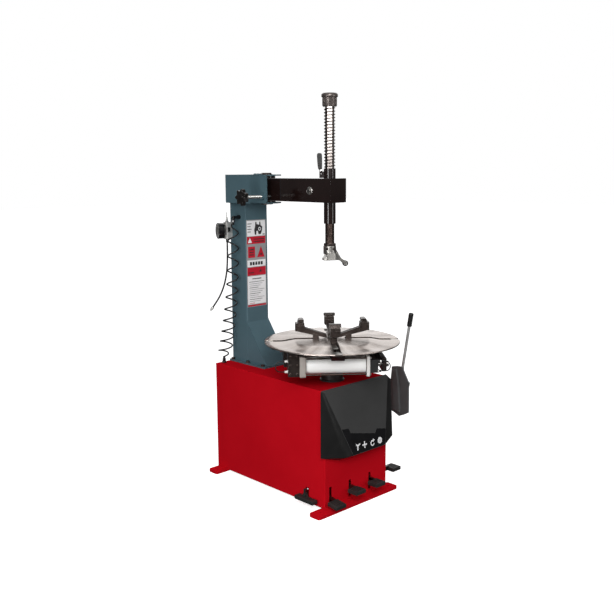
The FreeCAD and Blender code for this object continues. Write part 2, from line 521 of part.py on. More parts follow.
def clamp_cylinder(place, angle):
    """Cylinder beside the table's hub; its own frame has +X towards the rod end."""
    inner = CYL_BARREL_R - 4
    y, half = -CYL_OFFSET, CYL_CAP / 2
    barrel = tube((CYL_FROM + 28, y, CYL_Z), (CYL_TO - 14, y, CYL_Z), CYL_BARREL_R, inner)
    pieces = [barrel]
    for x0, x1 in ((CYL_FROM, CYL_FROM + 28), (CYL_TO - 14, CYL_TO)):
        cap = box(x0, x1, y - half, y + half, CYL_Z - half, CYL_Z + half)
        pieces.append(soft(cap, 8, lambda e: along(e, "x")))
    pieces[-1] = pieces[-1].cut(rod((CYL_TO - 20, y, CYL_Z), (CYL_TO + 1, y, CYL_Z), 10 + RUN))
    for sy in (-1, 1):
        for sz in (-1, 1):
            at = (y + sy * 38.5, CYL_Z + sz * 38.5)
            pieces.append(rod((CYL_FROM + 28, *at), (CYL_TO - 14, *at), 3.5))
            pieces.append(rod((CYL_TO, *at), (CYL_TO + 5, *at), 7))
    valve = box(CYL_TO, CYL_TO + 38, y - half - 4, y - 26, CYL_Z - 30, CYL_Z + 31)
    port = rod((CYL_TO + 38, y - 40, CYL_Z + 23), (CYL_TO + 48, y - 40, CYL_Z + 23), 7)
    pieces.append(valve.fuse(port))
    save("clamp_cylinder_" + place, *[spun(piece, angle) for piece in pieces])
    piston = rod((-125, y, CYL_Z), (-103, y, CYL_Z), inner - RUN)
    stem = rod((-103, y, CYL_Z), (238, y, CYL_Z), 10)
    nut = rod((238, y, CYL_Z), (250, y, CYL_Z), 14)
    save("cylinder_rod_" + place, spun(piston.fuse(stem).fuse(nut), angle))


TABLE_HOSE = 4.5


def table_hoses():
    """Short air lines of the front cylinder, in the cylinder's own frame."""
    right = [(204, -218, 725), (216, -218, 725), (228, -219, 725), (240, -221, 722), (249, -223, 713),
             (252, -225, 701), (249, -226, 689), (240, -225, 680), (228, -221, 677), (213, -217, 677),
             (194, -217, 677)]
    left = [(-224, -186, 724), (-245, -186, 724), (-258, -187, 724), (-271, -189, 721), (-280, -192, 712),
            (-283, -195, 699), (-280, -196, 686), (-271, -193, 677), (-258, -189, 674), (-245, -186, 674),
            (-224, -186, 674)]
    for name, points in (("cylinder_hose_right", right), ("cylinder_hose_left", left)):
        hose(name, [at_cylinder(*p) for p in points], TABLE_HOSE)


def at_cylinder(x, y, z):
    a = math.radians(JAW_ANGLES["right"])
    return (AXIS_X + x * math.cos(a) - y * math.sin(a), TABLE_Y + x * math.sin(a) + y * math.cos(a), z)


# ---- drive inside the cabinet -----------------------------------------------------------------------
WORM_Y, WORM_Z = TABLE_Y - 62.0, 480.0
MOTOR_Z = 235.0
PULLEY_X0, PULLEY_X1 = 96.0, 116.0
BIG_PULLEY_R, SMALL_PULLEY_R = 66.0, 33.0


def drive():
    box_x0, box_x1 = AXIS_X - 95, AXIS_X + 95
    housing = box(box_x0, box_x1, TABLE_Y - 110, TABLE_Y + 100, 415, 560)
    housing = soft(housing, 18, lambda e: along(e, "z"))
    housing = housing.fuse(upright(AXIS_X, TABLE_Y, 560, CAB_TOP - SHEET, 60))
    housing = housing.cut(upright(AXIS_X, TABLE_Y, 425, CAB_TOP, SHAFT_R + RUN))
    housing = housing.cut(rod((box_x1 - 40, WORM_Y, WORM_Z), (box_x1 + 1, WORM_Y, WORM_Z), 12 + RUN))
    save("gearbox", housing)
    pulley = rod((PULLEY_X0, WORM_Y, WORM_Z), (PULLEY_X1, WORM_Y, WORM_Z), BIG_PULLEY_R)
    pulley = pulley.cut(tube((PULLEY_X0 + 6, WORM_Y, WORM_Z), (PULLEY_X1 + 1, WORM_Y, WORM_Z), BIG_PULLEY_R - 9, 22))
    stub = rod((box_x1 - 38, WORM_Y, WORM_Z), (PULLEY_X0, WORM_Y, WORM_Z), 12)
    save("gearbox_pulley", pulley.fuse(stub))
    motor = rod((-120, WORM_Y, MOTOR_Z), (62, WORM_Y, MOTOR_Z), 66)
    for k in range(24):
        fin = box(-105, 45, -1.6, 1.6, 62, 73)
        fin.rotate(Vector(0, 0, 0), Vector(1, 0, 0), 15 * k)
        fin.translate(Vector(0, WORM_Y, MOTOR_Z))
        motor = motor.fuse(fin)
    motor = motor.cut(rod((30, WORM_Y, MOTOR_Z), (63, WORM_Y, MOTOR_Z), 10 + RUN))
    feet = box(-90, 30, WORM_Y - 62, WORM_Y + 58, MOTOR_Z - 88, MOTOR_Z - 52)
    save("motor", motor.fuse(feet))
    stub = rod((32, WORM_Y, MOTOR_Z), (PULLEY_X0, WORM_Y, MOTOR_Z), 10)
    small = rod((PULLEY_X0, WORM_Y, MOTOR_Z), (PULLEY_X1, WORM_Y, MOTOR_Z), SMALL_PULLEY_R)
    save("motor_pulley", small.fuse(stub))

    def loop(extra):
        reach = WORM_Z - MOTOR_Z
        lean = math.asin((BIG_PULLEY_R - SMALL_PULLEY_R) / reach)
        sides = []
        for z, r in ((WORM_Z, BIG_PULLEY_R + extra), (MOTOR_Z, SMALL_PULLEY_R + extra)):
            for s in (-1, 1):
                sides.append((WORM_Y + s * r * math.cos(lean), z + r * math.sin(-lean)))
        outline = [sides[0], sides[1], sides[3], sides[2]]
        middle = prism([(PULLEY_X0 + 2, y, z) for y, z in outline], (PULLEY_X1 - PULLEY_X0 - 4, 0, 0))
        big = rod((PULLEY_X0 + 2, WORM_Y, WORM_Z), (PULLEY_X1 - 2, WORM_Y, WORM_Z), BIG_PULLEY_R + extra)
        low = rod((PULLEY_X0 + 2, WORM_Y, MOTOR_Z), (PULLEY_X1 - 2, WORM_Y, MOTOR_Z), SMALL_PULLEY_R + extra)
        return middle.fuse(big).fuse(low).removeSplitter()

    save("drive_belt", loop(7).cut(loop(GAP)))


def motor_stand():
    bed = box(-110, 50, WORM_Y - 72, WORM_Y + 68, MOTOR_Z - 94, MOTOR_Z - 88)
    return [bed] + [box(x, x + 8, WORM_Y - 72, WORM_Y + 68, 0, MOTOR_Z - 94) for x in (-110, 42)]


def cylinder_mounts():
    return [box(x, x + 10, BEAD_CYL_Y - 60, BEAD_CYL_Y + 60, FOOT_T - 1, BEAD_Z - 100) for x in (-164, 156)]


# ---- bead breaker -------------------------------------------------------------------------------------
def bead_breaker():
    pivot = (PIVOT_ARM_X, PIVOT_ARM_Y)
    plates = []
    for z0 in (BEAD_Z - 52, BEAD_Z + 42):
        plate = box(CAB_HALF_X, PIVOT_ARM_X, PIVOT_ARM_Y - 38, PIVOT_ARM_Y + 38, z0, z0 + 10)
        plates.append(plate.fuse(upright(*pivot, z0, z0 + 10, 38)))
    back = box(CAB_HALF_X, CAB_HALF_X + 8, PIVOT_ARM_Y - 38, PIVOT_ARM_Y + 38, BEAD_Z - 52, BEAD_Z + 52)
    bracket = plates[0].fuse(plates[1]).fuse(back)
    bracket = bracket.cut(upright(*pivot, BEAD_Z - 80, BEAD_Z + 80, 14))
    pin = upright(*pivot, BEAD_Z - 56, BEAD_Z + 56, 14).fuse(upright(*pivot, BEAD_Z + 52, BEAD_Z + 62, 20))
    save("bead_arm_bracket", bracket.removeSplitter(), pin)

    def placed(shape):
        copy = shape.copy()
        copy.Placement = Placement(Vector(*pivot, BEAD_Z), Rotation(UP, BEAD_REST)).multiply(copy.Placement)
        return copy

    beam = box(-25, 25, -BEAD_LEN + 125, 0, -34, 34)
    beam = soft(beam, 6, lambda e: along(e, "y"))
    beam = beam.cut(box(-20, 20, -BEAD_LEN + 120, -60, -29, 29))
    eye = upright(0, 0, -41.5, 41.5, 30)
    arm = beam.fuse(eye).cut(upright(0, 0, -60, 60, 14 + RUN))
    reach = (PIVOT_ARM_Y - BEAD_CYL_Y) / math.cos(math.radians(BEAD_REST))
    arm = arm.cut(box(-30, 30, -reach - 52, -reach + 32, -14, 14))
    yoke = box(-12, 12, -BEAD_LEN, -BEAD_LEN + 140, -32, 32).fuse(upright(0, -BEAD_LEN, -32, 32, 14))
    yoke = yoke.cut(box(-20, 20, -BEAD_LEN - 20, -BEAD_LEN + 28, -20, 20))
    arm = arm.fuse(yoke).cut(upright(0, -BEAD_LEN, -60, 60, 8))
    save("bead_arm", placed(arm.removeSplitter()), placed(upright(0, -BEAD_LEN, -36, 36, 8)))

    barrel = tube((-150, BEAD_CYL_Y, BEAD_Z), (150, BEAD_CYL_Y, BEAD_Z), 95, 91)
    ends = [rod((-165, BEAD_CYL_Y, BEAD_Z), (-150, BEAD_CYL_Y, BEAD_Z), 100),
            rod((150, BEAD_CYL_Y, BEAD_Z), (168, BEAD_CYL_Y, BEAD_Z), 100)]
    ends[1] = ends[1].cut(rod((149, BEAD_CYL_Y, BEAD_Z), (169, BEAD_CYL_Y, BEAD_Z), 10 + RUN))
    save("bead_cylinder", barrel.fuse(ends[0]).fuse(ends[1]).removeSplitter())
    arm_x = PIVOT_ARM_X + (PIVOT_ARM_Y - BEAD_CYL_Y) * math.tan(math.radians(BEAD_REST))
    stem = rod((5, BEAD_CYL_Y, BEAD_Z), (arm_x + 62, BEAD_CYL_Y, BEAD_Z), 10)
    piston = rod((-15, BEAD_CYL_Y, BEAD_Z), (5, BEAD_CYL_Y, BEAD_Z), 91 - RUN)
    nut = rod((arm_x + 46, BEAD_CYL_Y, BEAD_Z), (arm_x + 57, BEAD_CYL_Y, BEAD_Z), 21)
    save("bead_rod", stem.fuse(piston).fuse(nut))


BLADE_X = 418.0


def bead_blade():
    pin_x = PIVOT_ARM_X + BEAD_LEN * math.sin(math.radians(BEAD_REST))
    pin_y = PIVOT_ARM_Y - BEAD_LEN * math.cos(math.radians(BEAD_REST))
    centre = pin_y - 2
    outline = [(50, 140), (14, 148), (-20, 150), (-62, 78), (-72, 72), (-66, 42), (-68, -90),
               (-36, -108), (-4, -122), (34, -106), (60, -100), (58, 60)]
    plate = prism([(BLADE_X, centre + y, BEAD_Z + z) for y, z in outline], (9, 0, 0))
    bulge = prism([(BLADE_X, centre + 44, BEAD_Z + 120), (BLADE_X, centre + 14, BEAD_Z + 134),
                   (BLADE_X, centre - 2, BEAD_Z + 60), (BLADE_X, centre - 14, BEAD_Z - 100),
                   (BLADE_X, centre + 30, BEAD_Z - 92)], (-9, 0, 0))
    save("bead_blade_cover", plate.fuse(bulge).removeSplitter())
    back = box(BLADE_X + 9, BLADE_X + 17, centre - 50, centre + 28, BEAD_Z - 88, BEAD_Z + 60)
    rib = box(BLADE_X + 17, pin_x, pin_y - 9, pin_y + 9, BEAD_Z - 19.5, BEAD_Z + 19.5)
    eye = upright(pin_x, pin_y, BEAD_Z - 19.5, BEAD_Z + 19.5, 13)
    blade = back.fuse(rib).fuse(eye).cut(upright(pin_x, pin_y, BEAD_Z - 30, BEAD_Z + 30, 8 + RUN))
    save("bead_blade", blade.removeSplitter())
    low = Vector(BLADE_X + 15, centre - 14, BEAD_Z + 146)
    high = Vector(BLADE_X + 52, centre - 34, BEAD_Z + 420)
    lean = (high - low).normalize()
    foot = Vector(BLADE_X + 15, centre - 12, BEAD_Z + 50)
    stem = Part.makeCylinder(7.5, (low - foot).Length, foot, low - foot)
    knee = Part.makeSphere(7.5, low)
    bar = Part.makeCylinder(7.5, (high - low).Length - 60, low, lean)
    handle = stem.fuse(knee).fuse(bar).cut(plate)
    grip = Part.makeCylinder(13.5, 72, high - lean * 60, lean)
    grip = soft(grip, 5, lambda e: True)
    save("blade_handle", handle.cut(blade).cut(grip), grip)


# ---- pedals ---------------------------------------------------------------------------------------------
def pedal_parts(reach):
    """Lever and pad of a pedal whose pad starts this far along -Y from a pivot at the origin."""
    lever = box(-5, 5, -reach - 6, 0, -12, 12).fuse(rod((-5, 0, 0), (5, 0, 0), 14))
    toe = box(-34, 14, -reach - 56, -reach, -13, -9)
    lever = lever.fuse(box(-5, 5, -reach - 50, -reach, -12, 4)).fuse(toe)
    lever = lever.cut(rod((-6, 0, 0), (6, 0, 0), 6 + RUN))
    pad = box(-42, 23, -reach - 60, -reach, -13, 6)
    pad = soft(pad, 4, lambda e: e.CenterOfMass.z > 0)
    for k in range(4):
        x = -33 + 13 * k
        pad = pad.cut(box(x, x + 5, -reach - 54, -reach - 6, 4, 7))
    return lever.removeSplitter(), pad.cut(lever)


def pedals():
    for k, x in enumerate(PEDALS_X):
        tilt = 8.5 if k == 0 else 0.0
        pieces = [turned(p, tilt, (0, 0, 0), Vector(1, 0, 0)) for p in pedal_parts(FRONT_REACH)]
        for piece in pieces:
            piece.translate(Vector(x + LEVER_SIDE, PEDAL_PIVOT_Y, PEDAL_PIVOT_Z))
        save("pedal_%d" % (k + 1), *pieces)
    pieces = [turned(p, 90, (0, 0, 0)) for p in pedal_parts(RIGHT_REACH)]
    for piece in pieces:
        piece.translate(Vector(RIGHT_PIVOT_X, RIGHT_PEDAL_Y, PEDAL_PIVOT_Z))
    save("pedal_right", *pieces)

    x, y, z = LEFT_PIVOT_X, LEFT_PEDAL_Y, LEFT_PIVOT_Z
    lever = box(-232, x, y - 6, y + 6, z - 9, z + 9).fuse(rod((x, y - 6, z), (x, y + 6, z), 9))
    lever = lever.fuse(box(-240, -226, y - 6, y + 6, 36, 80)).fuse(box(-260, -228, y - 70, y + 40, 30, 36))
    lever = lever.fuse(prism([(-238, y - 24, 34), (-238, y + 24, 34), (-238, y, 74)], (8, 0, 0)))
    lever = lever.cut(rod((x, y - 7, z), (x, y + 7, z), 5 + RUN)).removeSplitter()
    pad = soft(box(-263, -228, y - 78, y + 49, 26, 44), 3, lambda e: e.CenterOfMass.z > 30)
    save("pedal_left", lever, pad.cut(lever))
    save("pedal_pivot_rods", rod((-208, PEDAL_PIVOT_Y, PEDAL_PIVOT_Z), (140, PEDAL_PIVOT_Y, PEDAL_PIVOT_Z), 6),
         rod((x, y - 17, z), (x, y + 17, z), 5),
         rod((RIGHT_PIVOT_X, RIGHT_PEDAL_Y - 17, PEDAL_PIVOT_Z), (RIGHT_PIVOT_X, RIGHT_PEDAL_Y + 17, PEDAL_PIVOT_Z), 6))


def pedal_ears():
    """Upright plates on the base frame that hold the pedals' pivot rods."""
    rails = [box(-210, 180, PEDAL_PIVOT_Y - 20, PEDAL_PIVOT_Y + 20, FOOT_T - 8, FOOT_T)]
    for x in (-206.0, -120.0, 20.0, 130.0):
        ear = box(x, x + 8, PEDAL_PIVOT_Y - 20, PEDAL_PIVOT_Y + 20, FOOT_T - 1, PEDAL_PIVOT_Z + 16)
        rails.append(ear.cut(rod((x - 1, PEDAL_PIVOT_Y, PEDAL_PIVOT_Z), (x + 9, PEDAL_PIVOT_Y, PEDAL_PIVOT_Z), 6)))
    for x, y, z, half, r in ((LEFT_PIVOT_X, LEFT_PEDAL_Y, LEFT_PIVOT_Z, 9, 5),
                             (RIGHT_PIVOT_X, RIGHT_PEDAL_Y, PEDAL_PIVOT_Z, 16, 6)):
        for s in (-1, 1):
            y0, y1 = sorted((y + s * 9, y + s * 15))
            ear = box(x - half, x + half, y0, y1, FOOT_T - 1, z + half)
            rails.append(ear.cut(rod((x, y0 - 1, z), (x, y1 + 1, z), r)))
    rails.append(box(-180, 180, LEFT_PEDAL_Y - 18, LEFT_PEDAL_Y + 18, FOOT_T - 8, FOOT_T))
    rails.append(box(-180, 180, RIGHT_PEDAL_Y - 18, RIGHT_PEDAL_Y + 18, FOOT_T - 8, FOOT_T))
    return rails


# ---- inflation gauge and hoses ----------------------------------------------------------------------------
GAUGE = (-127.0, 411.0, 1289.0)              # middle of the gauge's valve block
GAUGE_TURN = -22.0


def air_parts():
    x, y, z = GAUGE
    block = box(x - 14, COL_X0, y - 16, y + 16, z - 44, z + 44)
    block = soft(block, 4, lambda e: along(e, "z") and e.CenterOfMass.x < x)
    block = block.fuse(upright(x, y, z + 44, z + 60, 6))
    face = x - 14
    stem = rod((face - 10, y, z), (face, y, z), 7)
    case = rod((face - 40, y, z), (face - 10, y, z), 42)
    case = case.cut(rod((face - 41, y, z), (face - 36, y, z), 38))
    lens = rod((face - 39, y, z), (face - 36, y, z), 38)
    turn = [turned(s, GAUGE_TURN, (face, y, z)) for s in (case, stem, lens)]
    save("gauge", turn[0].fuse(turn[1]).cut(block), turn[2])
    inflation = [(-127, 411, 1245), (-127.3, 411.2, 1185), (-128, 412, 1125), (-131.5, 415.5, 1065),
                 (-139.5, 423, 1010), (-151, 434, 964), (-167, 449, 919), (-188, 469, 878)]
    hose("inflation_hose", inflation, 9, 5)
    end, before = Vector(*inflation[-1]), Vector(*inflation[-2])
    way = (end - before).normalize()
    chuck = Part.makeCylinder(7, 16, end, way).fuse(Part.makeCylinder(4.5, 26, end, way))
    save("inflation_chuck", chuck)
    coil = [(-146, 334, 1338), (-147, 338, 1110), (-158, 352, 860), (-183, 388, 614)]
    hose("coil_hose", coil, 64)
    top = Vector(*coil[0])
    port = rod((COL_X0, top.y, 1362), (top.x, top.y, 1362), 8)
    drop = rod((top.x, top.y, 1338), (top.x, top.y, 1362), 8)
    elbow = port.fuse(drop).fuse(Part.makeSphere(8, Vector(top.x, top.y, 1362))).removeSplitter()
    low = Vector(*coil[-1])
    foot = upright(low.x, low.y, CAB_TOP, low.z - 6, 9)
    inlet = rod((-150, CAB_HALF_Y, 520), (-150, CAB_HALF_Y + 14, 520), 12)
    nipple = rod((-150, CAB_HALF_Y + 14, 520), (-150, CAB_HALF_Y + 40, 520), 6.6)
    save("air_fittings", block, elbow, foot, inlet.fuse(nipple))


base_frame()
cabinet()
front_cover()
column()
limit_screw()
swing_arm()
lock_lever()
tool_shaft()
turntable()
for place in JAW_ANGLES:
    jaw_slide(place, place in ("left", "right"))
clamp_cylinder("front", JAW_ANGLES["right"])
clamp_cylinder("rear", JAW_ANGLES["left"])
table_hoses()
drive()
bead_breaker()
bead_blade()
pedals()
air_parts()
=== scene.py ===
import math

import bmesh
import bpy
from mathutils import Matrix, Vector


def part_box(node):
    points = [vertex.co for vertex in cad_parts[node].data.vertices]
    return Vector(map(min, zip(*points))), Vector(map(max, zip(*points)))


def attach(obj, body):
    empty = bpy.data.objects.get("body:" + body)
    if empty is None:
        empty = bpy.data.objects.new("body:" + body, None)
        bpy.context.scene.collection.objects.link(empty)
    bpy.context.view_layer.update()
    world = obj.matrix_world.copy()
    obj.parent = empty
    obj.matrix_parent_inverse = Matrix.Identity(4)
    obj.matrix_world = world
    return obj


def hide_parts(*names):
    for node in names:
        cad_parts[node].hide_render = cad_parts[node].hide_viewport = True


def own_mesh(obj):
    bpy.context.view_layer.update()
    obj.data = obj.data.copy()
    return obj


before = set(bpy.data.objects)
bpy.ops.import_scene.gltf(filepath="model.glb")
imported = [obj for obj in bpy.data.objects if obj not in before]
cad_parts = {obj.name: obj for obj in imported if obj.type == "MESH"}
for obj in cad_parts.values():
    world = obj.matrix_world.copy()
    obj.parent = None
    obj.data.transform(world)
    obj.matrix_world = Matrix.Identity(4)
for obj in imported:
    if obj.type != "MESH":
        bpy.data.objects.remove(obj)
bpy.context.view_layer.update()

# A swing-arm tire changer, in metres, +Z up, machine front towards -Y.

# ---- driving places, read from the frame ----
TABLE_LOW, TABLE_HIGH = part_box("turntable_disc")
TABLE = Vector(((TABLE_LOW.x + TABLE_HIGH.x) / 2, (TABLE_LOW.y + TABLE_HIGH.y) / 2, 0))
UP = Vector((0, 0, 1))
SHAFT = Vector((-0.028, -0.258, 0))
COLUMN_FRONT = 0.285
LIMIT_SCREW = (0.113, 1.473)
LOCK_TURN = math.radians(136)
LOCK_HINGE, LOCK_HEIGHT, LOCK_PIN_HEIGHT = 0.041, 1.588, 1.6
HEAD_TURN = math.radians(-32)
GAUGE_BLOCK = (-0.127, 0.411, 1.289)
COIL_TOP, COIL_FOOT = (-0.146, 0.334), (-0.183, 0.388)
# The jaws' directions, in degrees from +X. A clamping cylinder lies beside the slots, across the table.
PLACES = {"front": -130, "right": -40, "back": 50, "left": 140}
CYL_Y, CYL_Z = -0.178, 0.702


def toward(angle):
    """The level direction at this angle from +X, in radians."""
    return Vector((math.cos(angle), math.sin(angle), 0))


# ---- node and mesh helpers ----
def node(tree, kind, inputs=None, **settings):
    """Adds a shader node; inputs are values or sockets to link, by name or number."""
    made = tree.nodes.new("ShaderNode" + kind)
    for key, value in settings.items():
        setattr(made, key, value)
    for key, value in (inputs or {}).items():
        if isinstance(value, bpy.types.NodeSocket):
            tree.links.new(value, made.inputs[key])
        else:
            made.inputs[key].default_value = value
    return made


def maths(tree, operation, *values):
    return node(tree, "Math", dict(enumerate(values)), operation=operation).outputs[0]


def vector_maths(tree, operation, *values, out="Value"):
    return node(tree, "VectorMath", dict(enumerate(values)), operation=operation).outputs[out]


def noise(tree, where, scale, detail=3.0, roughness=0.5):
    return node(tree, "TexNoise", {"Vector": where, "Scale": scale, "Detail": detail,
        "Roughness": roughness}).outputs["Fac"]


def ramp(tree, factor, stops):
    made = node(tree, "ValToRGB", {"Fac": factor})
    elements = made.color_ramp.elements
    while len(elements) < len(stops):
        elements.new(0.5)
    for element, (at, colour) in zip(elements, stops):
        element.position = at
        element.color = (*colour, 1)
    return made.outputs["Color"]


def spread(tree, factor, low, high, start=0.3, end=0.7):
    """Maps a 0..1 factor to a range of values."""
    return node(tree, "MapRange", {"Value": factor, "From Min": start, "From Max": end, "To Min": low,
        "To Max": high}).outputs["Result"]


def surface(name, dark, light, rough, metal, patch, grain, bump, depth=0.0004, edge=0.0, worn=None,
            **sockets):
    """A finish with patches of colour and gloss, a fine grain, and softened and worn edges if asked."""
    made = bpy.data.materials.new(name)
    made.use_nodes = True
    tree = made.node_tree
    shader = tree.nodes["Principled BSDF"]
    where = node(tree, "TexCoord").outputs["Object"]
    patches = noise(tree, where, patch, 6, 0.6)
    colour = ramp(tree, patches, [(0.3, dark), (0.7, light)])
    normal = {}
    if edge or worn:
        round_edge = node(tree, "Bevel", {"Radius": edge or 0.0015}, samples=4).outputs["Normal"]
        normal = {"Normal": round_edge}
    if worn:
        flat = node(tree, "NewGeometry").outputs["Normal"]
        turned = vector_maths(tree, "DOT_PRODUCT", round_edge, flat)
        scuffs = noise(tree, where, 90, 5, 0.7)
        on_edge = spread(tree, turned, 1, 0, 0.9, 0.995)
        share = maths(tree, "MULTIPLY", on_edge, spread(tree, scuffs, 0, 1, 0.45, 0.62))
        mixed = node(tree, "MixRGB", {"Fac": share, "Color1": colour, "Color2": (*worn, 1)})
        colour = mixed.outputs["Color"]
    tree.links.new(colour, shader.inputs["Base Color"])
    smears = noise(tree, where, patch * 4, 4, 0.6)
    tree.links.new(spread(tree, smears, *rough), shader.inputs["Roughness"])
    fine = noise(tree, where, grain, 2)
    bumps = node(tree, "Bump", {"Strength": bump, "Distance": depth, "Height": fine, **normal})
    tree.links.new(bumps.outputs["Normal"], shader.inputs["Normal"])
    shader.inputs["Metallic"].default_value = metal
    for key, value in sockets.items():
        shader.inputs[key.replace("_", " ")].default_value = value
    return made


def paint(finish, *names):
    """Gives CAD nodes a finish."""
    for name in names:
        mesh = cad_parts[name].data
        mesh.materials.clear()
        mesh.materials.append(M[finish])


def add(name, mesh, body, finishes, replaced=()):
    """Links a finished mesh or curve as a piece that rides on a body; finishes lists its materials."""
    piece = bpy.data.objects.new(name, mesh)
    bpy.context.scene.collection.objects.link(piece)
    if len(mesh.materials):
        mesh.materials.clear()
    for key in finishes.split():
        mesh.materials.append(M[key])
    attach(piece, body)
    if replaced:
        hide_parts(*replaced)
    return piece


# ---- materials ----
# The finishes: name, dark and light colour (one number is a grey), gloss range, metal, size of the patches,
# fineness of the grain, strength of the bumps, and what else a finish needs.
FINISHES = {
    "red": ("red_paint", (0.5, 0.0045, 0.011), (0.58, 0.006, 0.014), (0.3, 0.4), 0, 2.2, 420, 0.05,
        {"edge": 0.0015, "Specular_IOR_Level": 0.0}),
    "teal": ("teal_paint", (0.07, 0.125, 0.15), (0.088, 0.15, 0.178), (0.42, 0.54), 0, 3, 500, 0.07,
        {"edge": 0.001, "Specular_IOR_Level": 0.12}),
    "black": ("black_paint", (0.008, 0.0035, 0.003), (0.016, 0.008, 0.007), (0.07, 0.14), 0, 9, 500, 0.04,
        {"edge": 0.001, "Specular_IOR_Level": 0.75}),
    "cover": ("cover_plastic", 0.048, 0.058, (0.45, 0.55), 0, 5, 1500, 0.15, {"Specular_IOR_Level": 0.15}),
    # The darker facet plastic is painted shade on the cover's side facets and underside.
    "cover_side": ("cover_facets_painted_shade", 0.007, 0.013, (0.28, 0.38), 0, 5, 1500, 0.1,
        {"Specular_IOR_Level": 0.4}),
    "blade_plastic": ("blade_plastic", (0.11, 0.114, 0.116), (0.13, 0.134, 0.136),
        (0.5, 0.6), 0, 12, 900, 0.2, {"Specular_IOR_Level": 0.15}),
    "gloss_black": ("gloss_black", (0.004, 0.004, 0.005), (0.008, 0.008, 0.009),
        (0.12, 0.2), 0, 9, 300, 0.01),
    "gloss_knob": ("knob_phenolic", (0.006, 0.005, 0.005), (0.012, 0.01, 0.009),
        (0.12, 0.22), 0, 30, 500, 0.03, {"Specular_IOR_Level": 0.6}),
    "black_plastic": ("black_plastic", 0.01, 0.02, (0.35, 0.5), 0, 20, 800, 0.1),
    "rubber": ("rubber", 0.008, (0.019, 0.018, 0.017), (0.55, 0.75), 0, 25, 1200, 0.25),
    "dotted_rubber": ("dotted_grip", (0.02, 0.019, 0.018), (0.05, 0.048, 0.046),
        (0.5, 0.65), 0, 60, 520, 0.9, {"depth": 0.0012}),
    "oxide": ("black_oxide_steel", (0.022, 0.015, 0.013), (0.06, 0.045, 0.04),
        (0.26, 0.42), 0.6, 22, 600, 0.15, {"worn": (0.26, 0.23, 0.21)}),
    "jaw_steel": ("jaw_steel", (0.034, 0.025, 0.022), (0.092, 0.073, 0.066),
        (0.24, 0.38), 0.7, 26, 450, 0.3, {"worn": (0.42, 0.38, 0.35)}),
    "cast": ("cast_steel", (0.34, 0.33, 0.31), (0.52, 0.5, 0.47), (0.26, 0.42), 1, 40, 350, 0.3),
    "bright": ("bright_steel", (0.52, 0.5, 0.48), (0.66, 0.64, 0.61), (0.14, 0.24), 1, 15, 900, 0.05),
    "dark_steel": ("dark_steel", (0.06, 0.04, 0.034), (0.12, 0.088, 0.076), (0.25, 0.38), 0.9, 14, 500, 0.1,
        {"worn": (0.35, 0.3, 0.28)}),
    "cap_steel": ("burnished_cap", (0.12, 0.1, 0.092), (0.26, 0.225, 0.21),
        (0.25, 0.38), 0.7, 20, 700, 0.1),
    "spring_steel": ("spring_steel", (0.14, 0.115, 0.105), (0.26, 0.225, 0.21),
        (0.22, 0.32), 1, 25, 600, 0.05),
    "silver": ("anodised_silver", (0.94, 0.93, 0.91), (0.97, 0.965, 0.95), (0.34, 0.42), 0, 8, 900, 0.04),
    "white_cap": ("white_cap", (0.72, 0.7, 0.67), (0.82, 0.8, 0.78), (0.4, 0.5), 0.15, 20, 500, 0.15),
    "cap_grey": ("cylinder_cap", (0.4, 0.355, 0.325), (0.52, 0.475, 0.44), (0.38, 0.5), 0.5, 20, 400, 0.25),
    "zinc": ("zinc_plate", (0.5, 0.5, 0.48), (0.66, 0.65, 0.63), (0.25, 0.35), 1, 30, 700, 0.08),
    "alloy": ("cast_alloy", (0.46, 0.455, 0.44), (0.6, 0.595, 0.58), (0.42, 0.52), 0.4, 25, 600, 0.3),
    "handle_steel": ("painted_bar", 0.42, (0.52, 0.52, 0.51), (0.3, 0.4), 0.6, 20, 600, 0.06),
    "iron": ("painted_casting", (0.18, 0.19, 0.2), (0.26, 0.27, 0.28), (0.5, 0.6), 0, 10, 250, 0.5,
        {"edge": 0.001}),
    "hose": ("hose_rubber", (0.006, 0.006, 0.007), (0.012, 0.012, 0.013), (0.26, 0.34), 0, 30, 900, 0.04),
    "white": ("printed_white", (0.88, 0.88, 0.89), (0.94, 0.94, 0.95), (0.35, 0.45), 0, 9, 900, 0.02),
    "dial": ("dial_card", (0.7, 0.69, 0.66), (0.78, 0.77, 0.74), (0.5, 0.6), 0, 30, 900, 0.02),
    "label_red": ("printed_red", (0.5, 0.012, 0.03), (0.58, 0.018, 0.038), (0.35, 0.45), 0, 9, 900, 0.02,
        {"Specular_IOR_Level": 0.25}),
    "label_grey": ("printed_grey", (0.3, 0.3, 0.31), (0.36, 0.36, 0.37), (0.35, 0.45), 0, 9, 900, 0.02),
    "print_black": ("printed_black", (0.015, 0.014, 0.016), (0.03, 0.028, 0.03),
        (0.4, 0.5), 0, 9, 900, 0.02),
    "glass": ("gauge_glass", 0.95, 1, (0.02, 0.04), 0, 9, 100, 0.0,
        {"Transmission_Weight": 1.0, "IOR": 1.45}),
}


def finish(name, dark, light, rough, metal, patch, grain, bump, more=None):
    dark, light = (colour if isinstance(colour, tuple) else (colour,) * 3 for colour in (dark, light))
    return surface(name, dark, light, rough, metal, patch, grain, bump, **(more or {}))


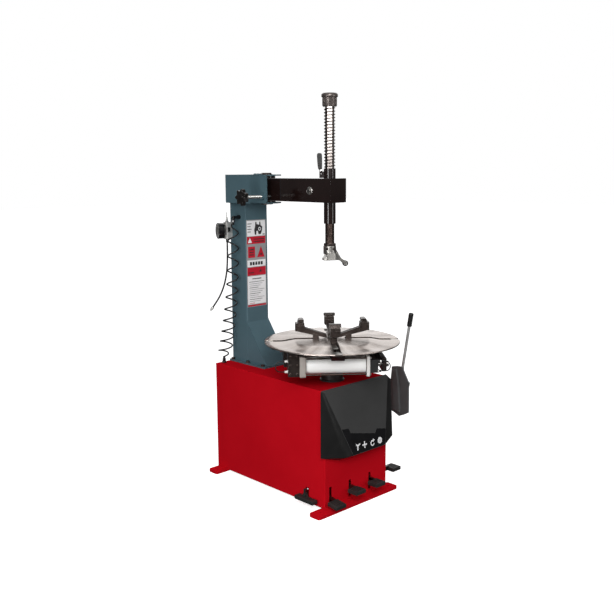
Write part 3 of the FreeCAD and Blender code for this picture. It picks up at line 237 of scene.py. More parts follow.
def brushed_disc():
    """Stainless turned on a lathe: fine rings, broad light and dark sectors painted into its colour as the
    reflections of brushed steel, and a tangential grain.
    """
    made = bpy.data.materials.new("brushed_stainless")
    made.use_nodes = True
    tree = made.node_tree
    shader = tree.nodes["Principled BSDF"]
    where = node(tree, "TexCoord").outputs["Object"]
    from_axis = vector_maths(tree, "SUBTRACT", where, tuple(TABLE), out="Vector")
    parts = node(tree, "SeparateXYZ", {"Vector": from_axis})
    flat = node(tree, "CombineXYZ", {"X": parts.outputs["X"], "Y": parts.outputs["Y"], "Z": 0.0})
    radius = vector_maths(tree, "LENGTH", flat.outputs["Vector"])
    rings_per_metre = 1500.0
    rings = node(tree, "TexNoise", {"W": maths(tree, "MULTIPLY", radius, rings_per_metre), "Scale": 1.0,
        "Detail": 3.0}, noise_dimensions="1D").outputs["Fac"]
    angle = maths(tree, "ARCTAN2", parts.outputs["Y"], parts.outputs["X"])
    around = node(tree, "CombineXYZ", {"X": maths(tree, "COSINE", angle), "Y": maths(tree, "SINE", angle),
        "Z": 0.0}).outputs["Vector"]
    # Light and dark sectors round the axis: painted reflection in the base colour.
    painted_reflection_sectors = noise(tree, around, 3.2, 5, 0.65)
    colour = ramp(tree, painted_reflection_sectors, [(0.34, (0.25, 0.207, 0.184)), (0.47, (0.4, 0.35, 0.32)),
        (0.62, (0.56, 0.503, 0.468))])
    tree.links.new(colour, shader.inputs["Base Color"])
    tree.links.new(spread(tree, rings, 0.22, 0.34), shader.inputs["Roughness"])
    round_edge = node(tree, "Bevel", {"Radius": 0.0012}, samples=4).outputs["Normal"]
    bumps = node(tree, "Bump", {"Strength": 0.12, "Distance": 0.0003, "Height": rings, "Normal": round_edge})
    tree.links.new(bumps.outputs["Normal"], shader.inputs["Normal"])
    shader.inputs["Metallic"].default_value = 1.0
    shader.inputs["Anisotropic"].default_value = 0.75
    tangent = node(tree, "Tangent", direction_type="RADIAL", axis="Z")
    tree.links.new(tangent.outputs["Tangent"], shader.inputs["Tangent"])
    return made


def shaft_steel():
    """The hexagonal bar: light steel above, a painted highlight where it shows inside the spring; oiled
    brown below.
    """
    made = surface("shaft_steel", (0.34, 0.3, 0.28), (0.46, 0.42, 0.4), (0.2, 0.3), 1.0, patch=18, grain=700,
        bump=0.06)
    tree = made.node_tree
    shader = tree.nodes["Principled BSDF"]
    bright = shader.inputs["Base Color"].links[0].from_socket
    where = node(tree, "TexCoord").outputs["Object"]
    height = node(tree, "SeparateXYZ", {"Vector": where}).outputs["Z"]
    # Above 1.6 m the bar keeps the light steel as painted highlight; below 1.45 m it turns brown.
    oiled_below, painted_highlight_above = 1.45, 1.6
    below = spread(tree, height, 1, 0, oiled_below, painted_highlight_above)
    brown, tan = (0.11, 0.072, 0.062), (0.2, 0.145, 0.125)
    stains = ramp(tree, noise(tree, where, 24, 5, 0.7), [(0.3, brown), (0.7, tan)])
    mixed = node(tree, "MixRGB", {"Fac": below, "Color1": bright, "Color2": stains})
    tree.links.new(mixed.outputs["Color"], shader.inputs["Base Color"])
    return made


M = {key: finish(*values) for key, values in FINISHES.items()}
M["disc"] = brushed_disc()
M["shaft"] = shaft_steel()

paint("red", "base_frame", "cabinet_body", "left_side_panel")
paint("teal", "column")
paint("disc", "turntable_disc")
paint("silver", "bead_cylinder")
paint("bright", "cylinder_rod_front", "cylinder_rod_rear", "bead_rod")
paint("zinc", "pedal_pivot_rods", "inflation_chuck")
paint("dark_steel", "column_fasteners")
paint("shaft", "hex_shaft")
paint("iron", "gearbox", "motor", "gearbox_pulley", "motor_pulley")
paint("rubber", "drive_belt")
paint("black_plastic", "shaft_collar", "head_roller")


# ---- cords ----
def spline_curve(name, points, radius):
    """A smooth tube whose line is one open NURBS spline with these control points."""
    curve = bpy.data.curves.new(name, "CURVE")
    curve.dimensions = "3D"
    curve.resolution_u = 10
    curve.bevel_depth = radius
    curve.bevel_resolution = 4
    curve.use_fill_caps = True
    line = curve.splines.new("NURBS")
    line.points.add(len(points) - 1)
    for control, point in zip(line.points, points):
        control.co = (*point, 1)
    line.order_u = 3
    line.use_endpoint_u = True
    return curve


def line_of(points):
    """The points along the smooth line through a route."""
    route = bpy.data.objects.new("route", spline_curve("route", points, 0))
    bpy.context.scene.collection.objects.link(route)
    mesh = bpy.data.meshes.new_from_object(route)
    found = [v.co.copy() for v in mesh.vertices]
    bpy.data.objects.remove(route)
    return found


INFLATION_ROUTE = [(-0.127, 0.411, 1.245), (-0.1273, 0.4112, 1.185), (-0.128, 0.412, 1.125),
    (-0.1315, 0.4155, 1.065), (-0.1395, 0.423, 1.01), (-0.151, 0.434, 0.964), (-0.167, 0.449, 0.919),
    (-0.188, 0.469, 0.878)]
COIL_ROUTE = [(*COIL_TOP, 1.338), (-0.147, 0.338, 1.11), (-0.158, 0.352, 0.86), (*COIL_FOOT, 0.614)]
COIL_TURNS = 11
COIL_TUBE_R = 0.004
COIL_RADIUS, COIL_WIDENING = 0.0265, 0.009      # of the helix at the top, and what it gains by the foot
COIL_BUNCHING = 0.31                            # how much closer the turns lie towards the foot


def inflation_hose():
    curve = spline_curve("inflation_line", INFLATION_ROUTE, 0.0045)
    piece = add("inflation_line", curve, "machine", "hose", ["inflation_hose"])


def coil_hose():
    """A curly hose that hangs from its elbow: its turns are wider and closer together towards the foot."""
    line = line_of(COIL_ROUTE)
    steps = COIL_TURNS * 16
    run_in = 10
    drop = COIL_ROUTE[0][2] - COIL_ROUTE[-1][2]
    points = [Vector(COIL_ROUTE[0])]
    for k in range(1, steps):
        t = k / steps
        z = COIL_ROUTE[0][2] - drop * ((1 + COIL_BUNCHING) * t - COIL_BUNCHING * t * t)
        above, below = next((a, b) for a, b in zip(line, line[1:]) if b.z <= z)
        share = (above.z - z) / (above.z - below.z)
        centre = above.lerp(below, share)
        radius = (COIL_RADIUS + COIL_WIDENING * t) * min(1, k / run_in, (steps - k) / run_in)
        a = math.radians(200) - 2 * math.pi * COIL_TURNS * t
        points.append(centre + radius * toward(a))
    points.append(Vector(COIL_ROUTE[-1]))
    curve = spline_curve("curly_hose", points, COIL_TUBE_R)
    curve.resolution_u = 3
    piece = add("curly_hose", curve, "machine", "hose", ["coil_hose"])


inflation_hose()
coil_hose()


# ---- mesh helpers for new pieces ----
def facing(origin, direction, roll=0.0):
    """A frame at origin whose Z runs along direction."""
    turn = Vector(direction).to_track_quat("Z", "Y").to_matrix().to_4x4()
    return Matrix.Translation(Vector(origin)) @ turn @ Matrix.Rotation(math.radians(roll), 4, "Z")


def lathe(bm, at, profile, segments=32, slot=0, bore=False):
    """A turned solid about the frame's Z, from (radius, height) pairs; a bore closes on itself."""
    rings = []
    for radius, height in profile:
        if radius == 0:
            rings.append([bm.verts.new(at @ Vector((0, 0, height)))])
            continue
        rings.append([bm.verts.new(at @ Vector((*spot, height))) for spot in ngon(radius, segments)])
    pairs = list(zip(rings, rings[1:] + ([rings[0]] if bore else [])))
    for low, high in pairs if bore else pairs[:len(rings) - 1]:
        for k in range(segments):
            n = (k + 1) % segments
            corners = [low[k % len(low)], low[n % len(low)], high[n % len(high)], high[k % len(high)]]
            bm.faces.new(list(dict.fromkeys(corners))).material_index = slot


def prism(bm, at, outline, low, high, slot=0, taper=1.0):
    """A closed plate from an outline in the frame's XY plane; its top may be smaller about its middle."""
    middle = sum((Vector((u, v)) for u, v in outline), Vector((0, 0))) / len(outline)
    rings = []
    for height, scale in ((low, 1.0), (high, taper)):
        spots = [middle + (Vector(p) - middle) * scale for p in outline]
        rings.append([bm.verts.new(at @ Vector((*spot, height))) for spot in spots])
    bm.faces.new(rings[0][::-1]).material_index = slot
    bm.faces.new(rings[1]).material_index = slot
    for k in range(len(outline)):
        n = (k + 1) % len(outline)
        bm.faces.new((rings[0][k], rings[0][n], rings[1][n], rings[1][k])).material_index = slot


def sweep(bm, points, radius, sides=8, slot=0):
    """A closed tube along points; radius is a number or a function of the share of the way."""
    rings = []
    for k, point in enumerate(points):
        ahead = (points[min(k + 1, len(points) - 1)] - points[max(k - 1, 0)]).normalized()
        across = ahead.cross(UP if abs(ahead.z) < 0.95 else Vector((1, 0, 0))).normalized()
        other = ahead.cross(across)
        r = radius(k / (len(points) - 1)) if callable(radius) else radius
        rings.append([bm.verts.new(point + r * (c * across + d * other)) for c, d in ngon(1, sides)])
    for low, high in zip(rings, rings[1:]):
        for s in range(sides):
            n = (s + 1) % sides
            bm.faces.new((low[s], low[n], high[n], high[s])).material_index = slot
    bm.faces.new(rings[0][::-1]).material_index = slot
    bm.faces.new(rings[-1]).material_index = slot


def ngon(radius, sides, turn=0.0, centre=(0, 0)):
    """A regular outline with this many corners."""
    angles = [2 * math.pi * k / sides + math.radians(turn) for k in range(sides)]
    return [(centre[0] + radius * math.cos(a), centre[1] + radius * math.sin(a)) for a in angles]


def rectangle(x0, x1, y0, y1):
    return [(x0, y0), (x1, y0), (x1, y1), (x0, y1)]


def build(name, body, finishes, replaced=(), rounding=0.0, segments=2, sharp=35):
    """Runs a function that fills a bmesh, and adds the result as a piece."""
    def make(fill):
        bm = bmesh.new()
        fill(bm)
        bmesh.ops.recalc_face_normals(bm, faces=bm.faces)
        mesh = bpy.data.meshes.new(name)
        bm.to_mesh(mesh)
        bm.free()
        return dress(add(name, mesh, body, finishes, replaced), rounding, segments, sharp)
    return make


def dress(piece, rounding, segments, sharp=35):
    """Smooth shading with real rounded edges."""
    piece.data.shade_smooth()
    if rounding:
        bevel = piece.modifiers.new("rounded", "BEVEL")
        bevel.width, bevel.segments, bevel.limit_method = rounding, segments, "ANGLE"
        bevel.angle_limit = math.radians(sharp)
        piece.modifiers.new("normals", "WEIGHTED_NORMAL").keep_sharp = True
    else:
        piece.data.set_sharp_from_angle(angle=math.radians(sharp))
    return piece


def copy_node(bm, name):
    """Fills a bmesh from a CAD node, with its flat faces whole again."""
    bm.from_mesh(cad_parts[name].data)
    bmesh.ops.remove_doubles(bm, verts=bm.verts, dist=2e-6)
    bmesh.ops.dissolve_limit(bm, angle_limit=math.radians(1.5), verts=bm.verts, edges=bm.edges)


def softened(name, source, body, finishes, rounding, segments=2, choose=None):
    """A copy of a CAD node with rounded edges; choose picks a face's material from its middle."""
    def fill(bm):
        copy_node(bm, source)
        for face in bm.faces:
            face.material_index = choose(face.calc_center_median()) if choose else 0
    build(name, body, finishes, [source], rounding, segments)(fill)


def socket_screw(bm, at, radius, height):
    """A socket head with a chamfer; its hexagonal hole is a flat hexagon in the piece's second finish,
    painted shade in place of a recess.
    """
    lathe(bm, at, [(0, 0), (radius, 0), (radius, height * 0.8), (radius * 0.86, height), (0, height)], 20)
    # The hexagon in the second finish is painted shade, standing in for the socket's recess.
    prism(bm, at, ngon(radius * 0.5, 6), height - 0.0002, height + 0.0002, 1)


def hex_bolt(bm, at, radius, height):
    """A washer, a hexagon and its crowned top."""
    lathe(bm, at, [(0, 0), (radius * 1.25, 0), (radius * 1.25, height * 0.2), (0, height * 0.2)], 24)
    prism(bm, at, ngon(radius, 6, 15), height * 0.2, height * 0.85)
    lathe(bm, at, [(0, height * 0.8), (radius * 0.86, height * 0.8), (radius * 0.8, height), (0, height)],
        24)


# ---- cabinet, feet and cover ----
COVER_LOW, COVER_HIGH = 0.254, 0.586
COVER_TOP_Y, COVER_LEAN = -0.425, 0.045 / 0.332


def on_cover(x, z):
    """A point on the cover's sloping main face."""
    return Vector((x, COVER_TOP_Y - COVER_LEAN * (COVER_HIGH - z), z))


def cover_frame(x, z):
    """A frame on the cover's main face: X to the right, Y up the slope, Z out of it."""
    up_slope = (on_cover(x, z + 0.01) - on_cover(x, z)).normalized()
    right = Vector((1, 0, 0))
    out = right.cross(up_slope)
    turn = Matrix((right, up_slope, out)).transposed().to_4x4()
    return Matrix.Translation(on_cover(x, z)) @ turn


def front_cover():
    """The moulded shell, with its side facets and underside in darker plastic as painted shade, the glossy
    band low on its face, and four plain icons on the band.
    """
    # The side facets and the underside take the darker cover finish: painted shade, where less light falls
    # than on the main face.
    def painted_shade_faces(p):
        below_top = p.z < 0.56
        left, right, under = p.x < -0.14, p.x > 0.16 and p.y > -0.46, p.z < COVER_LOW - 0.002
        return 1 if below_top and (left or right) or under else 0

    softened("front_cover_shell", "front_cover", "machine", "cover cover_side", 0.0022, 3,
        painted_shade_faces)
    origin = cover_frame(0, COVER_LOW)
    slope = math.hypot(1, COVER_LEAN)
    band = [(-0.1425, 0.394), (-0.097, 0.389), (-0.088, 0.365), (0.083, 0.327), (0.098, 0.347),
        (0.162, 0.333), (0.1475, 0.257), (-0.0815, 0.257)]
    band = [(x, (z - COVER_LOW) * slope) for x, z in band]
    build("cover_band", "machine", "gloss_black",
        rounding=0.0004)(lambda bm: prism(bm, origin, band[::-1], -0.0002, 0.0007))

    def icons(bm):
        lift = (0.0006, 0.0011)
        lever = cover_frame(-0.0423, 0.2893)
        prism(bm, lever, [(-0.01, -0.016), (-0.003, -0.016), (0.0, 0.002), (0.014, 0.008), (0.012, 0.014),
            (-0.004, 0.01), (-0.014, 0.016), (-0.016, 0.01), (-0.008, 0.003)], *lift)
        cross = cover_frame(0.0019, 0.2896)
        arm, half = 0.0165, 0.0034
        prism(bm, cross, [(-arm, -half), (-half, -half), (-half, -arm), (half, -arm), (half, -half),
            (arm, -half), (arm, half), (half, half), (half, arm), (-half, arm), (-half, half), (-arm, half)],
            *lift)
        loop = cover_frame(0.0576, 0.2844)
        angles = [math.radians(60 + 15 * k) for k in range(20)]
        outer, inner = ([(r * math.cos(a), r * math.sin(a)) for a in angles] for r in (0.0145, 0.0085))
        prism(bm, loop, outer + inner[::-1], *lift)
        prism(bm, loop, [(0.004, 0.02), (0.004, 0.003), (0.018, 0.013)], *lift)
        wheel = cover_frame(0.1116, 0.2853)
        lathe(bm, wheel, [(0.0062, lift[0]), (0.0158, lift[0]), (0.0158, lift[1]), (0.0062, lift[1])], 32,
            bore=True)
        lathe(bm, wheel, [(0, lift[0]), (0.0048, lift[0]), (0.0048, lift[1]), (0, lift[1])], 20)

    build("cover_icons", "machine", "white")(icons)


def pedals():
    """Each pedal's pad is rubber and its lever is painted."""
    pad = 0.062

    def pedal(name, on_pad):
        softened(name + "_soft", name, name, "rubber black", 0.0011,
            choose=lambda p: 0 if on_pad(p) else 1)

    for name in ("pedal_1", "pedal_2", "pedal_3"):
        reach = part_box(name)[0].y + pad
        pedal(name, lambda p, reach=reach: p.y < reach)
    pedal("pedal_right", lambda p: p.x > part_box("pedal_right")[1].x - pad)
    pedal("pedal_left", lambda p: p.x < -0.227)


def cabinet_details():
    """The pad that a tyre rests on, with its four screws."""
    softened("tyre_rest_pad", "wheel_support_pad", "machine", "rubber", 0.0013)
    pad_low, pad_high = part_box("wheel_support_pad")

    def screws(bm):
        for y in (pad_low.y + 0.022, pad_high.y - 0.022):
            for z in (pad_low.z + 0.016, pad_high.z - 0.016):
                at = facing((pad_high.x - 0.0004, y, z), (1, 0, 0))
                socket_screw(bm, at, 0.0065, 0.0022)

    build("pad_screws", "machine", "zinc gloss_black")(screws)


# ---- column, label and head bracket ----
def label():
    """A film with coloured blocks; it has plain shapes where the real one has words."""
    place = Matrix.Translation((-0.0031, COLUMN_FRONT, -0.1296))
    stretch = Matrix.Diagonal((1.06, 1, 1.17, 1))
    at = place @ stretch @ Matrix.Rotation(math.radians(90), 4, "X")
    left, right = -0.091, 0.035
    film = 0.0003
    white, red, grey, black = range(4)

    def fill(bm):
        def block(x0, x1, z0, z1, slot, level):
            under = film * (level - 1) + 0.0001
            prism(bm, at, rectangle(x0, x1, z0, z1), under, under + film, slot)

        block(left, right, 0.868, 1.262, grey, 1)
        x0, x1 = left + 0.004, right - 0.004
        for z0, z1, slot in ((1.189, 1.258, white), (1.154, 1.187, red), (1.051, 1.081, white),
                             (1.011, 1.048, red), (0.88, 1.008, white), (0.87, 0.877, red)):
            block(x0, x1, z0, z1, slot, 2)
        for k in range(4):
            block(x0 + 0.004, x0 + 0.03 - 0.006 * (k % 2), 1.243 - 0.012 * k, 1.246 - 0.012 * k, black, 3)
        figure = [(-0.036, 1.194), (-0.028, 1.194), (-0.026, 1.21), (-0.018, 1.212), (-0.012, 1.196),
            (0.002, 1.196), (0.01, 1.212), (0.012, 1.23), (0.002, 1.236), (0.0, 1.252), (-0.006, 1.252),
            (-0.008, 1.238), (-0.024, 1.242), (-0.026, 1.252), (-0.032, 1.252), (-0.034, 1.234),
            (-0.04, 1.216)]
        prism(bm, at, figure, 0.0006, 0.001, black)
        prism(bm, at, ngon(0.0085, 20, 0, (-0.006, 1.22)), 0.0009, 0.0013, white)
        prism(bm, at, ngon(0.0045, 16, 0, (-0.006, 1.22)), 0.0012, 0.0016, black)
        block(0.014, 0.027, 1.193, 1.197, black, 3)
        prism(bm, at, [(x0 + 0.005, 1.159), (x0 + 0.031, 1.159), (x0 + 0.018, 1.182)], 0.0006, 0.001, white)
        for k in range(2):
            block(x0 + 0.042, x1 - 0.008, 1.162 + 0.011 * k, 1.166 + 0.011 * k, black, 3)
        block(x0 + 0.006, x0 + 0.05, 1.092, 1.142, red, 2)
        for k in range(3):
            block(x0 + 0.014, x0 + 0.042, 1.102 + 0.012 * k, 1.107 + 0.012 * k, black, 3)
        prism(bm, at, [(x0 + 0.064, 1.092), (x1 - 0.006, 1.092), (x1 - 0.029, 1.142)], 0.0004, 0.0007, red)
        prism(bm, at, ngon(0.008, 3, 90, (x1 - 0.029, 1.106)), 0.0007, 0.001, black)
        for k in range(5):
            start = x0 + 0.016 + 0.0175 * k
            block(start, start + 0.0125, 1.058, 1.073, black, 3)
        block(x0 + 0.008, x0 + 0.04, 1.022, 1.026, black, 3)
        prism(bm, at, ngon(0.01, 3, 90, (x1 - 0.034, 1.03)), 0.0006, 0.001, black)
        block(x0 + 0.03, x1 - 0.03, 0.994, 0.998, black, 3)
        for k in range(11):
            end = x1 - 0.01 - 0.013 * ((k * 5) % 4)
            block(x0 + 0.01, end, 0.981 - 0.0089 * k, 0.9832 - 0.0089 * k, grey if k % 3 else black, 3)
        block(x0 + 0.01, x0 + 0.045, 0.8835, 0.8857, red, 3)

    build("column_label", "machine", "white label_red label_grey print_black")(fill)


def weld(bm, start, end, radius):
    """A hand-laid bead: its width and line wander a little."""
    start, end = Vector(start), Vector(end)
    steps = max(6, int((end - start).length / 0.004))
    points = []
    for k in range(steps + 1):
        wander = Vector((math.sin(k * 2.4), math.sin(k * 1.7 + 1), math.sin(k * 3.1 + 2))) * radius * 0.12
        points.append(start.lerp(end, k / steps) + wander)
    sweep(bm, points, lambda t: radius * (0.86 + 0.16 * math.sin(t * steps * 2.1)), 7)


def column_details():
    """Weld beads along the column's foot and head, the bracket and its bolts."""
    def beads(bm):
        low, left, right, front, back = 0.5925, -0.1035, 0.0475, COLUMN_FRONT, 0.414
        for x in (left, right):
            weld(bm, (x, 0.13, low), (x, back, low), 0.0028)
            weld(bm, (x, front + 0.004, 1.4345), (x, back, 1.4345), 0.0026)
            weld(bm, (x, front + 0.002, 0.6), (x, front + 0.002, 0.8), 0.0014)
        weld(bm, (left, 0.13, low), (right, 0.13, low), 0.0028)
        weld(bm, (left + 0.004, front - 0.0005, 1.4345), (right - 0.004, front - 0.0005, 1.4345), 0.0026)

    build("weld_beads", "machine", "teal", sharp=80)(beads)

    def bolts(bm):
        for y in (0.245, 0.268, 0.291):
            hex_bolt(bm, facing((-0.028, y, 1.581), (0, 0, 1), 10 * y), 0.0075, 0.0055)

    build("bracket_bolts", "machine", "teal")(bolts)
    softened("head_bracket_soft", "head_bracket", "machine", "teal", 0.0013)


def limit_screw():
    """A star knob with seven lobes, on a threaded rod whose inner end is painted black as shade."""
    back, front = -0.275, -0.252
    lobes, radius, lobe, steps = 7, 0.0358, 0.0058, 84

    def fill(bm):
        outline = []
        for k in range(steps):
            a = 2 * math.pi * k / steps
            reach = radius + lobe * math.cos(lobes * a)
            outline.append((reach * math.cos(a), reach * math.sin(a)))
        at = facing((back, *LIMIT_SCREW), (1, 0, 0))
        prism(bm, at, outline, 0, front - back)
        lathe(bm, at, [(0, 0.022), (0.014, 0.022), (0.0135, 0.034), (0.0085, 0.0345), (0, 0.0345)], 28)
        lathe(bm, at, [(0, 0.0001), (0.019, 0.0001), (0.017, -0.0016), (0, -0.0024)], 36)

    build("limit_knob_star", "limit_knob", "gloss_knob", ["limit_knob"], 0.0042, 4,
        50)(fill)

    def thread(bm):
        pitch, crest, root = 0.0025, 0.0079, 0.0067
        # The rod's inner end, inside the bracket, takes gloss black as painted shade; the rest is zinc.
        for start, end, slot in ((-0.2395, -0.119, 0), (-0.119, -0.081, 1)):
            profile = [(0, 0), (0.0066, 0.0)]
            for k in range(int((end - start) / pitch)):
                profile += [(crest, pitch * (k + 0.35)), (crest, pitch * (k + 0.55))]
                profile.append((root, pitch * (k + 0.95)))
            profile += [(0.006, end - start), (0, end - start)]
            lathe(bm, facing((start, *LIMIT_SCREW), (1, 0, 0)), profile, 20, slot)

    build("limit_screw_thread", "limit_screw", "zinc gloss_black", ["limit_screw"], sharp=50)(thread)


# ---- arm, tool shaft, lock lever and mount head ----
def swing_arm():
    """The square arm, the shaft's sleeve, the arm's side bolt and the lever's pin."""
    softened("swing_arm_soft", "swing_arm", "swing_arm", "black", 0.0024, 3)
    softened("shaft_sleeve_soft", "shaft_sleeve", "swing_arm", "black", 0.001)

    def bolt(bm):
        at = facing((-0.08, -0.175, 1.505), (-1, 0, 0))
        lathe(bm, at, [(0, 0), (0.0192, 0), (0.0192, 0.003), (0.017, 0.0048), (0.015, 0.0048),
            (0.0145, 0.0036), (0, 0.0036)], 40)
        prism(bm, at, ngon(0.0118, 6, 12), 0.003, 0.0084, 0, 0.97)
        lathe(bm, at, [(0, 0.008), (0.0098, 0.008), (0.0092, 0.0092), (0, 0.0092)], 28)
        lathe(bm, at, [(0, 0.0092), (0.004, 0.0092), (0.0036, 0.0098), (0, 0.0098)], 20, 1)
        out = toward(LOCK_TURN)
        across = Vector((-out.y, out.x, 0))
        middle = SHAFT + LOCK_PIN_HEIGHT * UP + LOCK_HINGE * out
        for side in (-1, 1):
            at = facing(middle + across * side * 0.0125, across * side)
            lathe(bm, at, [(0, 0), (0.0065, 0), (0.0065, 0.0018), (0.0045, 0.003), (0, 0.003)], 20)
        sweep(bm, [middle - across * 0.013, middle + across * 0.013], 0.0039, 12)

    build("arm_bolts", "swing_arm", "bright gloss_black", ["arm_fasteners"], 0.0004)(bolt)


def spring():
    """Round wire wound at an even pitch along the shaft."""
    low, high, radius, wire, turns = 1.613, 1.893, 0.02475, 0.0025, 19

    def fill(bm):
        points = []
        steps = turns * 22
        for k in range(steps + 1):
            t = k / steps
            a = 2 * math.pi * turns * t + 0.6
            points.append(SHAFT + radius * toward(a) + (low + (high - low) * t) * UP)
        sweep(bm, points, wire, 7)

    piece = build("return_spring", "swing_arm", "spring_steel", ["shaft_spring"],
        sharp=80)(fill)
    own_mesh(piece)


def shaft_cap():
    """A turned cap with ribs round its side."""
    def fill(bm):
        at = Matrix.Translation(SHAFT)
        lathe(bm, at, [(0, 1.896), (0.032, 1.896), (0.034, 1.8985), (0.034, 1.9355), (0.035, 1.9375),
            (0.0388, 1.9395), (0.0395, 1.9415), (0.0395, 1.9495), (0.0385, 1.9515), (0.0345, 1.956),
            (0.0325, 1.957), (0.012, 1.9566), (0.011, 1.955), (0, 1.955)], 64)
        for x, y in ngon(0.0337, 36):
            sweep(bm, [SHAFT + Vector((x, y, z)) for z in (1.901, 1.9335)], 0.0011, 6)

    build("shaft_cap_knurled", "tool_shaft", "cap_steel", ["shaft_cap"], sharp=40)(fill)


def mount_head():
    """The cast head: the CAD shape remeshed and relaxed, so every edge is round as on a ground casting."""
    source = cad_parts["mount_head"].data.copy()
    piece = add("mount_head_casting", source, "tool_shaft", "cast", ["mount_head"])
    remesh = piece.modifiers.new("remesh", "REMESH")
    remesh.mode, remesh.voxel_size, remesh.use_smooth_shade = "VOXEL", 0.0014, True
    relax = piece.modifiers.new("relax", "SMOOTH")
    relax.factor, relax.iterations = 0.5, 6

    def fittings(bm):
        at = Matrix.Translation(SHAFT)
        lathe(bm, at, [(0.0212, 1.244), (0.028, 1.244), (0.029, 1.2455), (0.029, 1.2545), (0.028, 1.256),
            (0.0212, 1.256)], 48, 0, True)
        for degrees in (200, 260):
            out = toward(math.radians(degrees))
            socket_screw(bm, facing(SHAFT + 1.23 * UP + 0.03 * out, out), 0.006, 0.0046)
        nose = toward(HEAD_TURN)
        side = Vector((-nose.y, nose.x, 0))
        middle = SHAFT + 0.077 * nose + 1.157 * UP
        for s in (-1, 1):
            lathe(bm, facing(middle + side * s * 0.0088, side * s),
                [(0, 0), (0.0042, 0), (0.0036, 0.0012), (0, 0.0012)], 20, 2)
        sweep(bm, [middle - side * 0.009, middle + side * 0.009], 0.0029, 12, 2)

    build("head_fittings", "tool_shaft", "oxide gloss_black bright", ["head_fasteners"],
        0.0003, 1)(fittings)


def lock_lever():
    """A forged lever whose grip widens upwards and is rounded all over."""
    upright = Matrix.Rotation(math.radians(90), 4, "X")
    at = Matrix.Translation(SHAFT) @ Matrix.Rotation(LOCK_TURN, 4, "Z") @ upright

    def fill(bm):
        outline = [(0.0362, 1.606), (0.054, 1.606), (0.057, 1.622), (0.059, 1.645), (0.0602, 1.668),
            (0.0598, 1.677), (0.056, 1.6815), (0.048, 1.6822), (0.04, 1.681), (0.0368, 1.675),
            (0.0358, 1.655), (0.0356, 1.628)]
        prism(bm, at, outline, -0.0088, 0.0088, 1)
        prism(bm, at, [(0.0357, 1.586), (0.0463, 1.586), (0.0505, 1.609), (0.0405, 1.609)], -0.0048, 0.0048)
        eye = at @ Matrix.Translation((LOCK_HINGE, LOCK_HEIGHT, 0))
        lathe(bm, eye, rectangle(0.0041, 0.0076, -0.0069, 0.0069), 28, bore=True)

    build("lock_lever_grip", "lock_lever", "black_plastic dotted_rubber", ["lock_lever"],
        0.0032, 4)(fill)


# ---- turntable, jaws and clamping cylinders ----
def table_frame(degrees):
    """A frame on the table's axis whose X runs at this angle; its heights are the machine's."""
    return Matrix.Translation(TABLE) @ Matrix.Rotation(math.radians(degrees), 4, "Z")


